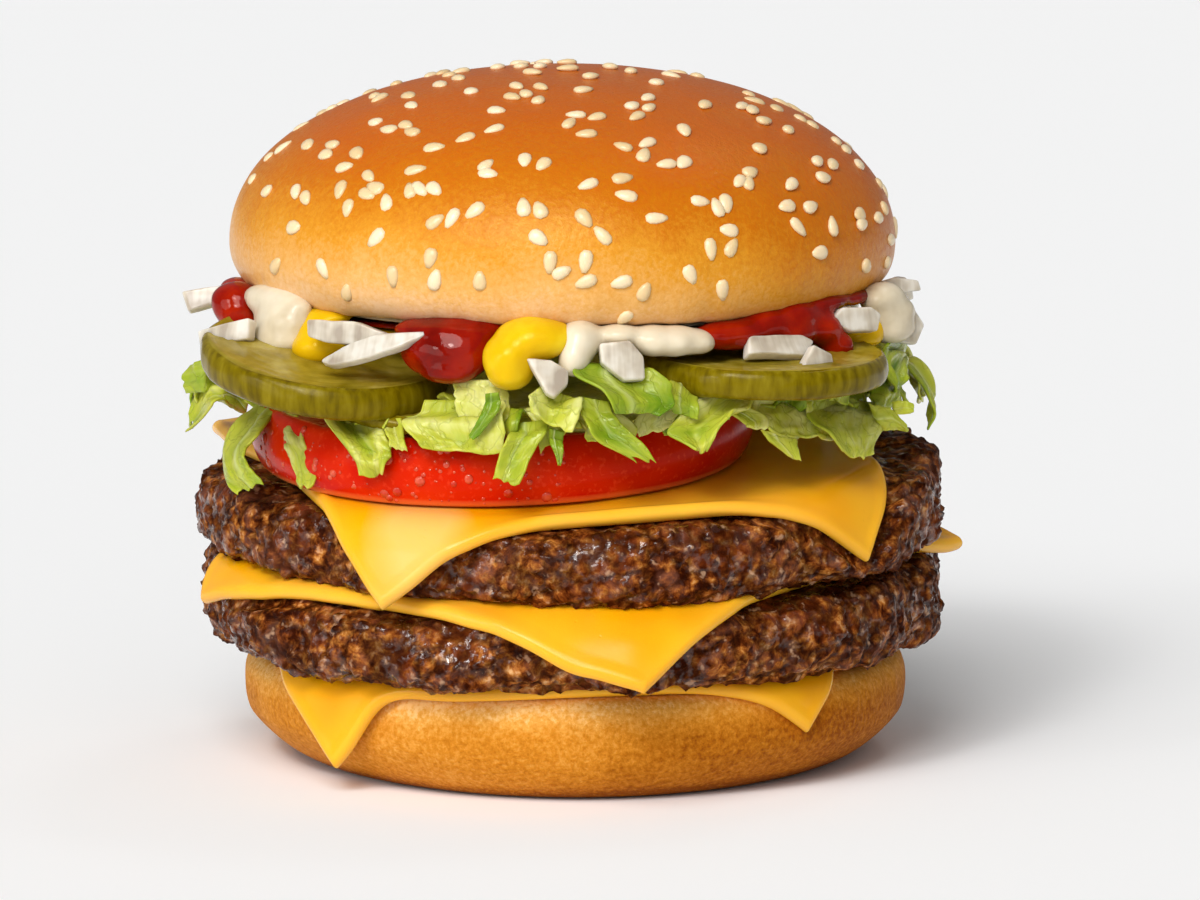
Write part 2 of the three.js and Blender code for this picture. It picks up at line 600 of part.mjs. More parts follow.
const lettuce = cutClear(makeLettuce(raised(PATTY_UPPER_TOP, CHEESE_STEP + 0.1)), [
  tomato, pattyUpper, cheeseUpper, ...pickleSolids, ...onionsCut, ketchup, mayonnaise, mustard,
]);
const crown = tidied(joined([dome, ...seedPlaces().map(makeSeed)]));

add("bun_heel", heel, HEEL_CRUST);
add("cheese_lower", cheeseLower, CHEESE);
add("patty_lower", pattyLower, BEEF);
add("cheese_middle", cheeseMiddle, CHEESE);
add("patty_upper", pattyUpper, BEEF);
add("cheese_upper", cheeseUpper, CHEESE);
add("tomato_slice", tomato, TOMATO);
add("lettuce", lettuce, LEAF);
for (const { name, solid } of pickles) add(name, solid, PICKLE);
onionsCut.forEach((onion, i) => add(`onion_${String(i + 1).padStart(2, "0")}`, onion, ONION));
add("ketchup", ketchup, SAUCES.ketchup);
add("mayonnaise", mayonnaise, SAUCES.mayonnaise);
add("mustard", mustard, SAUCES.mustard);
add("bun_crown", crown, CRUST);

export default burger;
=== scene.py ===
"""A double cheeseburger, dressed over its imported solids.

Every piece is a surface worked out in numpy, in millimetres, in the solids' own frame: +Z up, front towards -Y.
The sizes that the solids were made from are repeated here, so that each piece lies where its solid does.
"""

import itertools
import math

import bpy
import numpy as np
from bpy.props import FloatProperty, FloatVectorProperty, IntProperty, PointerProperty
from bpy.types import Operator, Panel, PropertyGroup
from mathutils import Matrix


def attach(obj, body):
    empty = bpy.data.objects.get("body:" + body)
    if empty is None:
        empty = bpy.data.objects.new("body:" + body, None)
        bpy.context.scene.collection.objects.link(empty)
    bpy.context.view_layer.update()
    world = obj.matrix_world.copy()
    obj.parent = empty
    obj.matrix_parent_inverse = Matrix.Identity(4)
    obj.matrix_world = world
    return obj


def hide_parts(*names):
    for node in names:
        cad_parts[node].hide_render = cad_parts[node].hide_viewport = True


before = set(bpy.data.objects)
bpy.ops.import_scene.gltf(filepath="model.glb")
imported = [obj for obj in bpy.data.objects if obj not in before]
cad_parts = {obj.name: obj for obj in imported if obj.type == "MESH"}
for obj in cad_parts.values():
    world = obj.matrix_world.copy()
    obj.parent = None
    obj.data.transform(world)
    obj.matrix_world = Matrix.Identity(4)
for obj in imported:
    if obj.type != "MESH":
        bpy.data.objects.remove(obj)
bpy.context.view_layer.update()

bl_info = {
    "name": "Double Cheeseburger",
    "version": (1, 0, 0),
    "blender": (4, 5, 0),
    "location": "View3D > Sidebar > Burger",
    "description": "Builds a double cheeseburger, layer by layer",
    "category": "Add Mesh",
}

MM = 0.001  # metres in a millimetre
TURN = 2 * np.pi

# ---- Sizes of the solids, in millimetres ----------------------------------------------------------------------

BUN_RADIUS = 50.3
HEEL_HEIGHT = 16.2
HEEL_WIDEST = 10.5
HEEL_FOOT = 42  # radius of its flat underside
HEEL_SHOULDER = 46.5  # radius of its cut face
HEEL_POWER = 2.4  # of the superellipse over its widest ring
HEEL_TUCK = 2.0  # how far its foot is drawn in at the left and right
HEEL_TUCK_HEIGHT = 7
HEEL_SHIFT = 1.0
CROWN_UNDERSIDE = 71.5
CROWN_WIDEST = 78.4
CROWN_TOP = 104.8
CROWN_FOOT = 45.5  # radius of its cut face
CROWN_INSIDE = 70  # height of a point from which all of its outside faces away
CROWN_SHIFT = -1.0
DOME_POWER = 2.1
DOME_SHARE = 0.8  # of the crown's profile, from the top down to its widest ring
PATTY_RADIUS = 56.2
PATTY_RIM = 4.5
PATTY_POWER = 2.6  # of the superellipse round its rim
TOMATO = dict(x=-10, y=-12, radius=37.5, thick=10, bulge=1.6, phase=1)
SLICE_OVAL = 0.015  # how far from round a cut slice is, as a share of its radius
LAY = 0.4  # clear space under a slice of cheese
CHEESE_HALF = 0.9  # half the thickness that the solids' slices have
CHEESE_EDGE = 0.95  # radius of a slice's rounded edge

# A tilted plane: its height over the origin, and its rise to the right and to the back.
PATTY_LOWER_BOTTOM = (18.8, 0, 0)
PATTY_LOWER_TOP = (31.2, 0.005, 0.04)
PATTY_UPPER_BOTTOM = (33.8, 0.005, 0.04)
PATTY_UPPER_TOP = (45.6, 0.02, 0.07)
TOMATO_BOTTOM = (48.2, 0.02, 0.07)

# Each patty's two planes, the phase of its waviness, its shift to the right, and the slice of cheese that lies on it.
PATTIES = {
    "patty_lower": dict(
        bottom=PATTY_LOWER_BOTTOM, top=PATTY_LOWER_TOP, phase=0.4, shift=0.3, seed=11, cheese="cheese_middle",
    ),
    "patty_upper": dict(
        bottom=PATTY_UPPER_BOTTOM, top=PATTY_UPPER_TOP, phase=2.9, shift=0.4, seed=47, cheese="cheese_upper",
    ),
}
# Each slice's middle, side and turn in degrees, and the plane that it lies on. The edge is the support's radius, and
# the steepness is in degrees: both are given for the corners at the back right, back left, front left and front right
# before the turn, and between the corners the edge is the first one's. The bend is the length of the arc over the
# edge, and the wave the height of the ripples in what hangs. What is drawn out: the left, right and front sides, a
# tongue at the left side's back end, and a hollow in the front side. The film is how far pale peach patches, a
# painted highlight, cover it, most at its left.
CHEESES = {
    "cheese_lower": dict(
        x=-3.5, y=-3.5, side=83, turn=3.5, plane=(HEEL_HEIGHT, 0, 0), edge=(46.9,) * 4, bend=6,
        steep=(60, 72, 84, 86), wave=0.2, drawn=(0, 0, 4.6, 0, 3.2), film=0.05,
    ),
    "cheese_middle": dict(
        x=1.2, y=-7.6, side=86, turn=55.3, plane=PATTY_LOWER_TOP, edge=(50.2,) * 4, bend=11, steep=(20, 84, 58, 20),
        wave=0.6, drawn=(6, 0, 0, 0, 0), film=0.12,
    ),
    "cheese_upper": dict(
        x=-1.2, y=-9.6, side=84, turn=15, plane=PATTY_UPPER_TOP, edge=(52, 52, 52, 49), bend=8, steep=(40, 3, 70, 76),
        wave=0.5, drawn=(0, 2.4, 0, 3.5, 0), film=0.85,
    ),
}
PICKLE_RADIUS = 18.8
# The height is that of the slice's underside at its own middle; then its rise to the right and to the back.
PICKLES = {
    "pickle_front_left": dict(x=-36.1, y=-29.2, z=61, rise=(-0.12, 0.18), thick=4.8),
    "pickle_front_right": dict(x=28.6, y=-32, z=61.6, rise=(-0.02, 0.04), thick=4.3),
    "pickle_back_left": dict(x=-27, y=29, z=62.6, rise=(0.03, -0.03), thick=4.4),
    "pickle_back_right": dict(x=26, y=30, z=62.5, rise=(-0.02, -0.02), thick=4.5),
    "pickle_front_left_lower": dict(x=-22, y=-26.5, z=57.2, rise=(-0.1, 0.13), thick=2.4),
}
# Each piece of onion: x, y, z, heading, lean, thickness, and the corners of its face, to the right and upwards.
ONIONS = (
    (-55.7, -8, 70.2, -8, -25, 2.2, ((-3.1, 1.0), (3.2, 2.2), (2.8, -0.6), (-1.9, -2.1))),
    (-51.2, -28.4, 68.0, -30, -18, 2.4, ((-4.6, -0.2), (4.2, 2.5), (4.4, -0.8), (-3.6, -2.7))),
    (-34.6, -40.4, 69.6, -28, -12, 2.4, (
        (-4.6, 1.7), (3.6, 1.9), (8.4, 0.6), (5.0, -1.6), (-0.6, -1.6), (-4.2, -0.8),
    )),
    (-28.6, -45, 68.1, -24, -30, 2.0, (
        (-8.6, -2.6), (-4.8, -0.4), (0.2, 1.7), (8.8, 3.2), (3.2, -0.5), (-2.4, -2.7), (-6.2, -3.4),
    )),
    (-3.1, -52.6, 64.7, 5, -24, 2.0, ((-3.1, 2.7), (0.6, 2.5), (3.1, 0.7), (2.9, -1.2), (0.8, -3.2), (-0.4, -2.6))),
    (7.6, -50.6, 66.8, 8, -20, 2.2, ((-3.0, 2.6), (1.4, 2.9), (3.4, 0.4), (3.4, -2.8), (0.3, -3.1), (-3.0, -0.2))),
    (31, -40.4, 67.4, 30, -38, 2.2, ((-5.8, -0.9), (-4.7, 1.9), (4.4, 1.4), (6.2, 0.3), (3.4, -2.2))),
    (36.4, -41.6, 65.6, 34, -18, 1.9, (
        (-2.2, 0.2), (-0.4, 2.4), (2.6, 0.7), (2.7, -2.6), (-1.2, -1.9), (-2.7, -0.6),
    )),
    (42.6, -27.5, 69.8, 30, -15, 2.4, ((-4.6, 0.2), (-2.4, 1.9), (2.6, 1.7), (4.3, 0.5), (3.2, -2.0), (-1.6, -1.8))),
    (50.2, -7, 72.2, 24, -10, 2.0, ((-3.6, 0.9), (-1.0, 1.4), (2.6, 0.6), (3.0, -0.9), (-2.4, -1.2))),
    (50.4, -12.5, 67.2, 20, -10, 2.0, ((-2.6, 3.4), (1.4, 2.6), (3.2, -0.4), (1.6, -3.3), (-2.6, -2.6))),
    (50.5, 12, 69.2, 105, -20, 2.4, ((-4, 0.6), (-1.5, 1.8), (3.6, 1.2), (4, -0.8), (-2.6, -1.8))),
    (23, 46.5, 69.2, 155, -25, 2.4, ((-4.2, -0.4), (-1.5, 1.8), (3.0, 1.6), (4.2, -0.8), (-1.6, -1.8))),
    (-14, 50.4, 69.1, 190, -20, 2.4, ((-5, 0.6), (-1.5, 1.7), (4.6, 1.2), (4.4, -0.8), (-3.6, -1.7))),
    (-46, 26, 69.3, 240, -25, 2.4, ((-4, -0.6), (-1.5, 1.8), (3.0, 1.8), (4, -0.8), (-1.6, -1.8))),
)
SAUCE_RADIUS = 40
SAUCE_THICK = 0.75
# Each sauce's spread lies at a height; each dollop has an angle, a distance out, a height and three half sizes:
# outwards, along the rim, and upright.
SAUCES = {
    "ketchup": (69.1, (
        (-163, 52.5, 70.6, 3.4, 4, 3.2), (-170, 51, 71.8, 2.6, 4, 1.8), (-160, 53, 68.4, 2.4, 4, 1.8),
        (-163, 46, 70.5, 7, 4, 2.4), (-112, 47.5, 67.5, 4.6, 6.4, 3.8), (-111, 48.8, 65, 3.8, 4.2, 2),
        (-113, 46, 70.4, 5, 7.2, 1.8), (-112, 45, 71, 4, 7, 1.6), (-58, 46.5, 69.4, 3.2, 7.4, 2.1),
        (-50, 46.4, 70.2, 3.2, 6, 2.4), (-45, 46.8, 70.8, 3.2, 4.4, 2.6), (-46, 47.6, 68.7, 3, 3.8, 1.7),
        (-39, 48.4, 68.8, 2.6, 3.2, 2.1), (-36, 49.2, 66.2, 2.4, 2.6, 2.1), (-35, 49.8, 64.4, 2, 2, 1.3),
        (-36, 46.5, 72.4, 2.6, 6.6, 1.3), (-24, 46.8, 72.2, 2.2, 6.5, 1.1), (60, 44.5, 68.9, 5.6, 7, 3.4),
        (130, 44.5, 69, 5.8, 8, 3.4),
    )),
    "mayonnaise": (70.2, (
        (-152, 49.5, 72, 3.2, 8, 2.3), (-148, 50.2, 69.6, 3.6, 5.6, 3), (-148, 50.6, 67.1, 3.8, 5, 2.6),
        (-88, 47.6, 69.6, 3.8, 2.9, 2.7), (-89, 48.8, 67.4, 3.4, 2.1, 2.7), (-90, 49.2, 65.9, 2.8, 1.5, 1.3),
        (-81, 47.2, 70.3, 3.2, 3, 1.4), (-75, 47.4, 69.3, 3.8, 3, 2.1), (-71, 47.4, 69.1, 4, 3.7, 2.1),
        (-67, 47.2, 68.8, 3.6, 3, 1.8), (-19, 49.8, 71.6, 3, 4.4, 2.2), (-17, 50.4, 69.2, 3.4, 4.8, 2.6),
        (-17, 50.8, 67, 3.2, 4.2, 2.3), (92, 44.8, 69.2, 5.6, 8, 3.6), (160, 45.5, 69.6, 5.4, 6.4, 3.6),
    )),
    "mustard": (68, (
        (-141, 46.5, 71, 3.2, 4.6, 0.9), (-139, 49.3, 66.3, 3.6, 3.8, 2.4), (-140, 48, 68.6, 3.4, 3.4, 2.1),
        (-96, 47.8, 69.8, 4.8, 5.3, 2.9), (-100, 49.2, 67, 4.6, 3.6, 3.6), (-100, 49.7, 65, 4, 3, 2.3),
        (-22, 48.2, 67.3, 2.6, 3.6, 2.6), (-24, 48.2, 66.1, 2.8, 3.4, 1.5), (34, 44.8, 68.9, 5.4, 6, 3.2),
        (111, 44.8, 68.2, 5.2, 4.6, 3.2),
    )),
}
LETTUCE_RADIUS = 45
LETTUCE_TOP = 61.8
LETTUCE_HEAP = 69.2  # height between the pickle slices
HEAP_RADIUS, HEAP_SLOPE = 35, 7  # the heap's raised middle, and how far in from its edge it takes to rise
LEAF_REACH = 59  # past this distance from the axis a leaf keeps only a share of its reach
LEAF_GIVE = 0.4
# Each leaf's greenness, then its rows from root to end: the angle and height of the row's left point and of its
# right point, and their distance out.
FRONT_LEAVES = (
    (0.65, ((-175.6, 59.9, -175.6, 56.2, 52.3), (-170.5, 61.5, -170.5, 56.1, 56),
        (-176.1, 59.6, -176.1, 55.1, 59.6))),
    (0.4, ((-165.6, 55.8, -169.5, 52.9, 50), (-166.5, 57.9, -165.7, 54.9, 54),
        (-175.9, 55.7, -163.0, 54.7, 56.1), (-176.1, 50.9, -172.7, 49.2, 58.8))),
    (0.5, ((-161.4, 55.3, -151.8, 55.3, 50), (-157.6, 53.1, -148.4, 53.8, 54),
        (-158.1, 48.9, -148.3, 51.0, 57), (-154.3, 45.5, -146.0, 48.3, 58),
        (-148.6, 43.6, -142.8, 45.1, 58))),
    (0.3, ((-162.0, 55.7, -143.7, 55.6, 50), (-149.7, 53.9, -140.3, 54.3, 52),
        (-143.1, 51.8, -136.9, 51.9, 54), (-140.7, 47.5, -135.4, 48.5, 54.5),
        (-139.0, 45.2, -135.1, 45.8, 54.5))),
    (0.3, ((-138.5, 56.3, -123.2, 56.2, 50), (-133.4, 55.6, -120.3, 55.0, 53),
        (-128.5, 53.7, -119.0, 52.9, 54.5), (-125.1, 51.2, -119.2, 51.2, 55),
        (-123.6, 48.3, -119.7, 49.3, 55))),
    (0.3, ((-123.3, 57.2, -118.9, 57.5, 51), (-120.0, 55.5, -116.6, 54.8, 54),
        (-118.8, 53.4, -115.9, 53.0, 54.5))),
    (0.25, ((-110.6, 63.4, -100.7, 63.7, 49), (-109.4, 61.1, -100.0, 61.1, 51.5),
        (-108.4, 58.8, -99.4, 58.1, 53))),
    (0.3, ((-115.9, 60.1, -100.2, 60.8, 49), (-117.7, 57.9, -99.5, 58.4, 53),
        (-115.6, 55.5, -99.4, 55.6, 54.5), (-112.6, 53.5, -99.5, 53.2, 55))),
    (0.9, ((-103.0, 62.4, -100.7, 62.7, 54.5), (-104.1, 58.7, -101.0, 60.0, 56),
        (-105.5, 56.0, -104.2, 55.5, 56.5))),
    (0.5, ((-100.1, 57.3, -92.8, 58.2, 51), (-99.7, 56.0, -93.7, 56.7, 54), (-101.0, 53.0, -95.9, 52.6, 55),
        (-101.9, 49.3, -97.5, 48.7, 55.5))),
    (0.2, ((-94.8, 63.2, -87.6, 60.9, 51), (-96.5, 61.2, -87.8, 59.8, 54), (-95.9, 59.7, -89.5, 56.3, 55.5))),
    (0.75, ((-93.1, 57.3, -90.7, 56.7, 53), (-92.6, 55.0, -90.7, 54.5, 54.5), (-91.6, 51.9, -91.2, 51.9, 55))),
    (0.5, ((-88.5, 61.7, -83.2, 60.8, 51), (-87.7, 58.8, -81.6, 58.5, 53.5), (-85.7, 55.6, -78.6, 55.5, 55),
        (-79.1, 52.9, -76.2, 51.9, 55.5))),
    (0.8, ((-87.2, 66.5, -77.6, 64.9, 49), (-90.1, 64.3, -73.0, 62.8, 52), (-85.1, 61.6, -73.0, 60.8, 54),
        (-83.3, 59.4, -75.7, 58.9, 54.5))),
    (0.65, ((-72.6, 63.5, -66.7, 61.5, 49), (-73.8, 61.4, -68.6, 60.1, 52.5), (-73.3, 59.2, -69.1, 57.8, 53))),
    (0.35, ((-67.0, 61.0, -55.7, 60.0, 49.5), (-71.6, 58.7, -59.4, 58.2, 52),
        (-74.2, 56.8, -63.1, 57.7, 53.5), (-71.9, 54.7, -66.6, 55.9, 54.5),
        (-69.9, 53.4, -68.8, 53.0, 55))),
    (0.3, ((-55.7, 60.8, -30.7, 57.7, 49), (-57.3, 58.5, -36.0, 56.0, 51.5), (-55.8, 55.9, -39.9, 54.2, 53),
        (-51.2, 54.3, -43.5, 54.0, 53.5))),
    (0.4, ((-57.4, 55.7, -49.2, 54.1, 52.5), (-55.5, 53.8, -50.1, 52.8, 53), (-51.8, 51.2, -50.6, 50.3, 53.5))),
    (0.3, ((-43.6, 59.1, -18.1, 55.4, 50), (-47.1, 57.1, -26.9, 54.2, 53), (-46.1, 54.1, -32.3, 52.6, 55),
        (-41.8, 50.7, -37.3, 49.3, 56))),
    (0.4, ((-34.2, 57.8, -30.4, 53.5, 54), (-31.0, 56.7, -30.4, 53.3, 56), (-28.7, 53.5, -28.7, 52.9, 58))),
    (0.7, ((-20.4, 65.4, -4.5, 62.9, 51.3), (-26.1, 64.0, -11.5, 61.9, 53), (-26.2, 61.4, -18.9, 59.9, 54),
        (-24.6, 58.2, -22.8, 57.1, 54))),
    (0.6, ((-24.4, 61.1, -14.2, 59.8, 51), (-28.4, 58.6, -19.8, 57.3, 53), (-31.1, 56.6, -25.8, 55.9, 54))),
    (0.5, ((-30.4, 57.7, -29.7, 55.8, 56), (-30.0, 57.9, -29.7, 55.8, 58), (-29.0, 57.3, -29.0, 56.2, 59))),
)
# Each seed's angle round the crown in degrees, its thousandths of the way down the profile, and its turn in degrees.
SEED_PLACES = """
    160,32,180 286,20,180 20,69,0 160,98,180 160,61,180 232,69,0 295,95,340 351,98,0 199,161,0 246,166,40
    259,166,45 326,166,345 18,214,0 160,193,0 162,212,0 204,200,10 228,207,215 250,222,25 254,202,240
    261,232,275 280,180,340 303,234,150 166,266,180 186,297,180 206,263,10 217,295,15 249,285,5 274,297,185
    294,263,320 299,275,325 320,285,155 356,292,0 252,358,140 272,329,295 280,307,155 292,309,145
    334,312,175 335,331,160 349,351,180 173,385,180 174,407,0 214,368,180 222,385,180 226,365,15 230,385,195
    246,394,135 276,370,175 284,416,215 290,407,150 302,370,110 332,370,5 336,411,350 352,399,0 201,475,15
    210,458,180 221,472,30 240,431,345 254,479,300 262,460,85 266,472,120 288,445,300 292,477,175
    296,475,140 318,450,345 353,426,0 212,489,5 221,516,340 229,535,30 239,504,340 255,504,10 275,533,155
    282,516,350 310,518,345 332,514,345 336,535,165 352,516,180 353,487,0 186,545,180 224,582,70 231,586,15
    232,565,195 240,565,240 242,560,35 245,557,35 263,599,260 282,567,195 296,591,10 306,543,145 308,548,305
    318,567,155 329,562,5 350,562,180 188,611,180 201,623,165 212,606,45 216,618,35 228,630,75 236,603,240
    247,647,320 250,637,110 254,613,135 266,606,245 274,630,55 287,633,0 299,611,265 301,603,105 314,625,175
    320,635,350 216,701,355 236,703,130 266,684,35 277,676,230 300,676,190 315,686,55 324,696,285
    334,708,355 334,681,175 342,706,180 349,691,0 247,747,100 268,749,95 270,774,335 274,747,100 296,725,90
    300,723,310 319,761,180 348,778,185 212,808,320 225,798,55 240,800,85 248,800,285 256,798,270
    274,798,160 280,800,165 284,827,295 292,788,65 298,834,80 334,822,25 346,834,0 230,856,290 281,917,120
"""
SEED_GAP = 3.4  # least distance from middle to middle
SEED_LOWEST = 0.9  # share of the profile past which no random seed lies
SEED_LIFT = 0.12  # how far its middle lies over the crust

# ---- The stage --------------------------------------------------------------------------------------------------

FLOOR_HALF, FLOOR_DROP = 3.0, 0.0002  # half its side, and its depth under the burger, in metres
# Each light's strength, then in degrees its apparent size, its height over the horizon and its heading.
LIGHTS = {
    "key": (2.0, 34, 44, -18),
    "key_core": (0.5, 9, 40, -24),
    "left": (1.0, 44, 5, -56),
    "left_core": (0.2, 10, 24, -50),
    "back_core": (0.1, 10, 58, 143),
    "front": (0.55, 60, 27, 0),
}
ROOM_LIGHT = 0.24  # strength of the even light from all around
CAMERA_PLACE = (0.0046, -1.36, 0.252)  # in metres
CAMERA_AIM = 0.046  # the height that it looks at
CAMERA_SENSOR, CAMERA_LENS = 36, 269.9  # in millimetres
CAMERA_NEAR, CAMERA_FAR = 0.1, 20  # in metres

# ---- Numbers that repeat --------------------------------------------------------------------------------------


def mix(a, b, share):
    """The value a share of the way from a to b."""
    return a + (b - a) * share


def smooth(x):
    """Nought below 0, one above 1, and an S-shaped step between them."""
    x = np.clip(x, 0, 1)
    return x * x * (3 - 2 * x)


def along(*parts):
    """Points from their three coordinates, each of them an array or a number."""
    return np.stack(np.broadcast_arrays(*parts), -1).astype(float)


def plane_height(plane, x, y):
    """The height of a tilted plane over a place."""
    return plane[0] + plane[1] * x + plane[2] * y


def cell_value(cell, seed):
    """A random number from 0 to 1 for each cell of a cubic grid: its whole numbers, multiplied and shifted."""
    value = (cell @ np.array([374761393, 668265263, 1440662683]) + seed * 1013904223) & 0xFFFFFFFF
    value = ((value ^ (value >> 13)) * 1274126177) & 0xFFFFFFFF
    return ((value ^ (value >> 16)) & 0xFFFF) / 0xFFFF


def lumps(points, size, seed=0):
    """Smooth noise from -1 to 1, a lump for each size: random values at a grid's corners, mixed by S-shaped steps."""
    scaled = np.asarray(points, float) / size
    cell = np.floor(scaled).astype(np.int64)
    share = smooth(scaled - cell)
    total = np.zeros(scaled.shape[:-1])
    for corner in itertools.product((0, 1), repeat=3):
        weight = np.prod(np.where(corner, share, 1 - share), axis=-1)
        total += weight * cell_value(cell + np.array(corner), seed)
    return 2 * total - 1


def rough(points, size, octaves, seed=0):
    """Lumps on lumps, each layer of them half as large and half as high as the one before."""
    return sum(0.5**i * lumps(points, size * 0.5**i, seed + 17 * i) for i in range(octaves))


def clods(points, size, seed=0):
    """One random middle in each cell of a cubic grid: how far the two nearest are, and the nearest one's number."""
    scaled = np.asarray(points, float) / size
    base = np.floor(scaled).astype(np.int64)
    near = np.full(scaled.shape[:-1], 9.0)
    second, owner = near.copy(), np.zeros_like(near)
    for step in itertools.product((-1, 0, 1), repeat=3):
        cell = base + np.array(step)
        middle = cell + along(*(cell_value(cell, seed + k) for k in range(3)))
        gap = np.linalg.norm(scaled - middle, axis=-1)
        closer = gap < near
        second = np.where(closer, near, np.minimum(second, gap))
        owner = np.where(closer, cell_value(cell, seed + 3), owner)
        near = np.minimum(near, gap)
    return near, second, owner


def turned_by(points, x=0, y=0, z=0):
    """Points turned about the X, then the Y, then the Z axis, in degrees."""
    for axis, angle in enumerate((x, y, z)):
        c, s = math.cos(math.radians(angle)), math.sin(math.radians(angle))
        a, b = (axis + 1) % 3, (axis + 2) % 3
        turned = points.copy()
        turned[..., a] = c * points[..., a] - s * points[..., b]
        turned[..., b] = s * points[..., a] + c * points[..., b]
        points = turned
    return points


# ---- Skins: closed meshes from grids of points ------------------------------------------------------------------


def grid_normals(points, closed=False):
    """Unit normals of a grid: the cross product of its steps across and its steps down."""
    down = np.gradient(points, axis=0)
    across = (np.roll(points, -1, 1) - np.roll(points, 1, 1)) if closed else np.gradient(points, axis=1)
    normal = np.cross(across, down)
    return normal / np.maximum(np.linalg.norm(normal, axis=-1, keepdims=True), 1e-12)


def normals_away(points, height, closed=False):
    """Unit normals of a grid, all of them looking away from the point at a height on the axis."""
    normal = grid_normals(points, closed)
    away = np.einsum("ijk,ijk->ij", normal, points - np.array([0, 0, height]))
    return normal * np.sign(away)[..., None]


def outward(points, quads, tris, values):
    """A closed part whose faces look outwards: they do where the volume that they enclose comes out positive."""
    corners = np.concatenate([quads[:, [0, 1, 2]], quads[:, [0, 2, 3]], tris])
    a, b, c = points[corners].transpose(1, 0, 2)
    if np.einsum("ij,ij->", a - points.mean(0), np.cross(b - points.mean(0), c - points.mean(0))) < 0:
        quads, tris = quads[:, ::-1], tris[:, ::-1]
    return dict(points=points, quads=quads, tris=tris, values=values)


def ring_skin(points, **values):
    """A closed part from rings of points, one to a row, with a fan of triangles at each end."""
    rows, cols = points.shape[:2]
    index = np.arange(rows * cols).reshape(rows, cols)
    beside = np.roll(index, -1, axis=1)
    quads = np.stack([index[:-1], beside[:-1], beside[1:], index[1:]], -1).reshape(-1, 4)
    ends = [np.full(cols, rows * cols), np.full(cols, rows * cols + 1)]
    first = np.stack([beside[0], index[0], ends[0]], -1)
    last = np.stack([index[-1], beside[-1], ends[1]], -1)
    tris = np.concatenate([first, last])

    def flat(grid):
        grid = np.broadcast_to(grid, points.shape[:2] + np.shape(grid)[2:])
        wall = grid.reshape(rows * cols, *grid.shape[2:])
        return np.concatenate([wall, grid[0].mean(0)[None], grid[-1].mean(0)[None]])

    return outward(flat(points), quads, tris, {name: flat(grid) for name, grid in values.items()})


def pillow(middle, half, **values):
    """A closed part about a middle surface: half the thickness to each side of it, and none along its borders."""
    rows, cols = middle.shape[:2]
    facing = grid_normals(middle) * half[..., None]
    over = np.arange(rows * cols).reshape(rows, cols)
    under = over.copy()
    under[1:-1, 1:-1] = rows * cols + np.arange((rows - 2) * (cols - 2)).reshape(rows - 2, cols - 2)
    quads = [np.stack([i[:-1, :-1], i[:-1, 1:], i[1:, 1:], i[1:, :-1]], -1).reshape(-1, 4) for i in (over, under)]
    points = np.concatenate([(middle + facing).reshape(-1, 3), (middle - facing)[1:-1, 1:-1].reshape(-1, 3)])

    def flat(grid):
        grid = np.broadcast_to(grid, (rows, cols) + np.shape(grid)[2:])
        inner = grid[1:-1, 1:-1]
        return np.concatenate([grid.reshape(rows * cols, *grid.shape[2:]), inner.reshape(-1, *grid.shape[2:])])

    no_tris = np.zeros((0, 3), int)
    quads = np.concatenate([quads[0], quads[1][:, ::-1]])
    return outward(points, quads, no_tris, {name: flat(grid) for name, grid in values.items()})


def make_piece(name, parts, material, replaced=(), modifiers=()):
    """Puts closed parts into one mesh, with their values as attributes, and lets the piece ride on the burger."""
    starts = np.cumsum([0] + [len(p["points"]) for p in parts])
    points = np.concatenate([p["points"] for p in parts])
    faces = [f for p, s in zip(parts, starts) for f in (p["quads"] + s).tolist() + (p["tris"] + s).tolist()]
    mesh = bpy.data.meshes.new(name)
    mesh.from_pydata(points * MM, [], faces)
    mesh.shade_smooth()
    for key in parts[0]["values"]:
        value = np.concatenate([p["values"][key] for p in parts])
        kind, field = ("FLOAT_VECTOR", "vector") if value.ndim == 2 else ("FLOAT", "value")
        mesh.attributes.new(key, kind, "POINT").data.foreach_set(field, value.astype(np.float32).ravel())
    mesh.materials.append(material)
    piece = bpy.data.objects.new(name, mesh)
    bpy.context.scene.collection.objects.link(piece)
    for kind, settings in modifiers:
        modifier = piece.modifiers.new(kind.title(), kind)
        for key, value in settings.items():
            setattr(modifier, key, value)
    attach(piece, "root")
    if replaced:
        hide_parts(*replaced)
    return piece


def edge_places(count, length, rim, fine=4):
    """Places along a length, with fine ones inside each rim that follow a quarter circle."""
    quarter = rim * (1 - np.cos(np.linspace(0, np.pi / 2, fine + 1)))
    return np.concatenate([quarter, np.linspace(rim, length - rim, count)[1:-1], length - quarter[::-1]])


def rounded(distance, radius):
    """Half the thickness at a distance in from a round edge."""
    return np.sqrt(np.maximum(radius**2 - (radius - np.minimum(distance, radius)) ** 2, 0))


COVER_FROM, PRESS_FROM = 40, 42  # distances from the axis past which a cover counts, and points are pressed in
COVER_STEP = 0.6  # a cover's points lie about this far apart
COVER_DEPTH = 30  # how far under a cover's top a point on the axis lies from which all of it looks away
PRESS_DEPTH = 5  # points that lie further from a cover belong elsewhere
BATCH = 1500  # points that are compared with a cover in one go


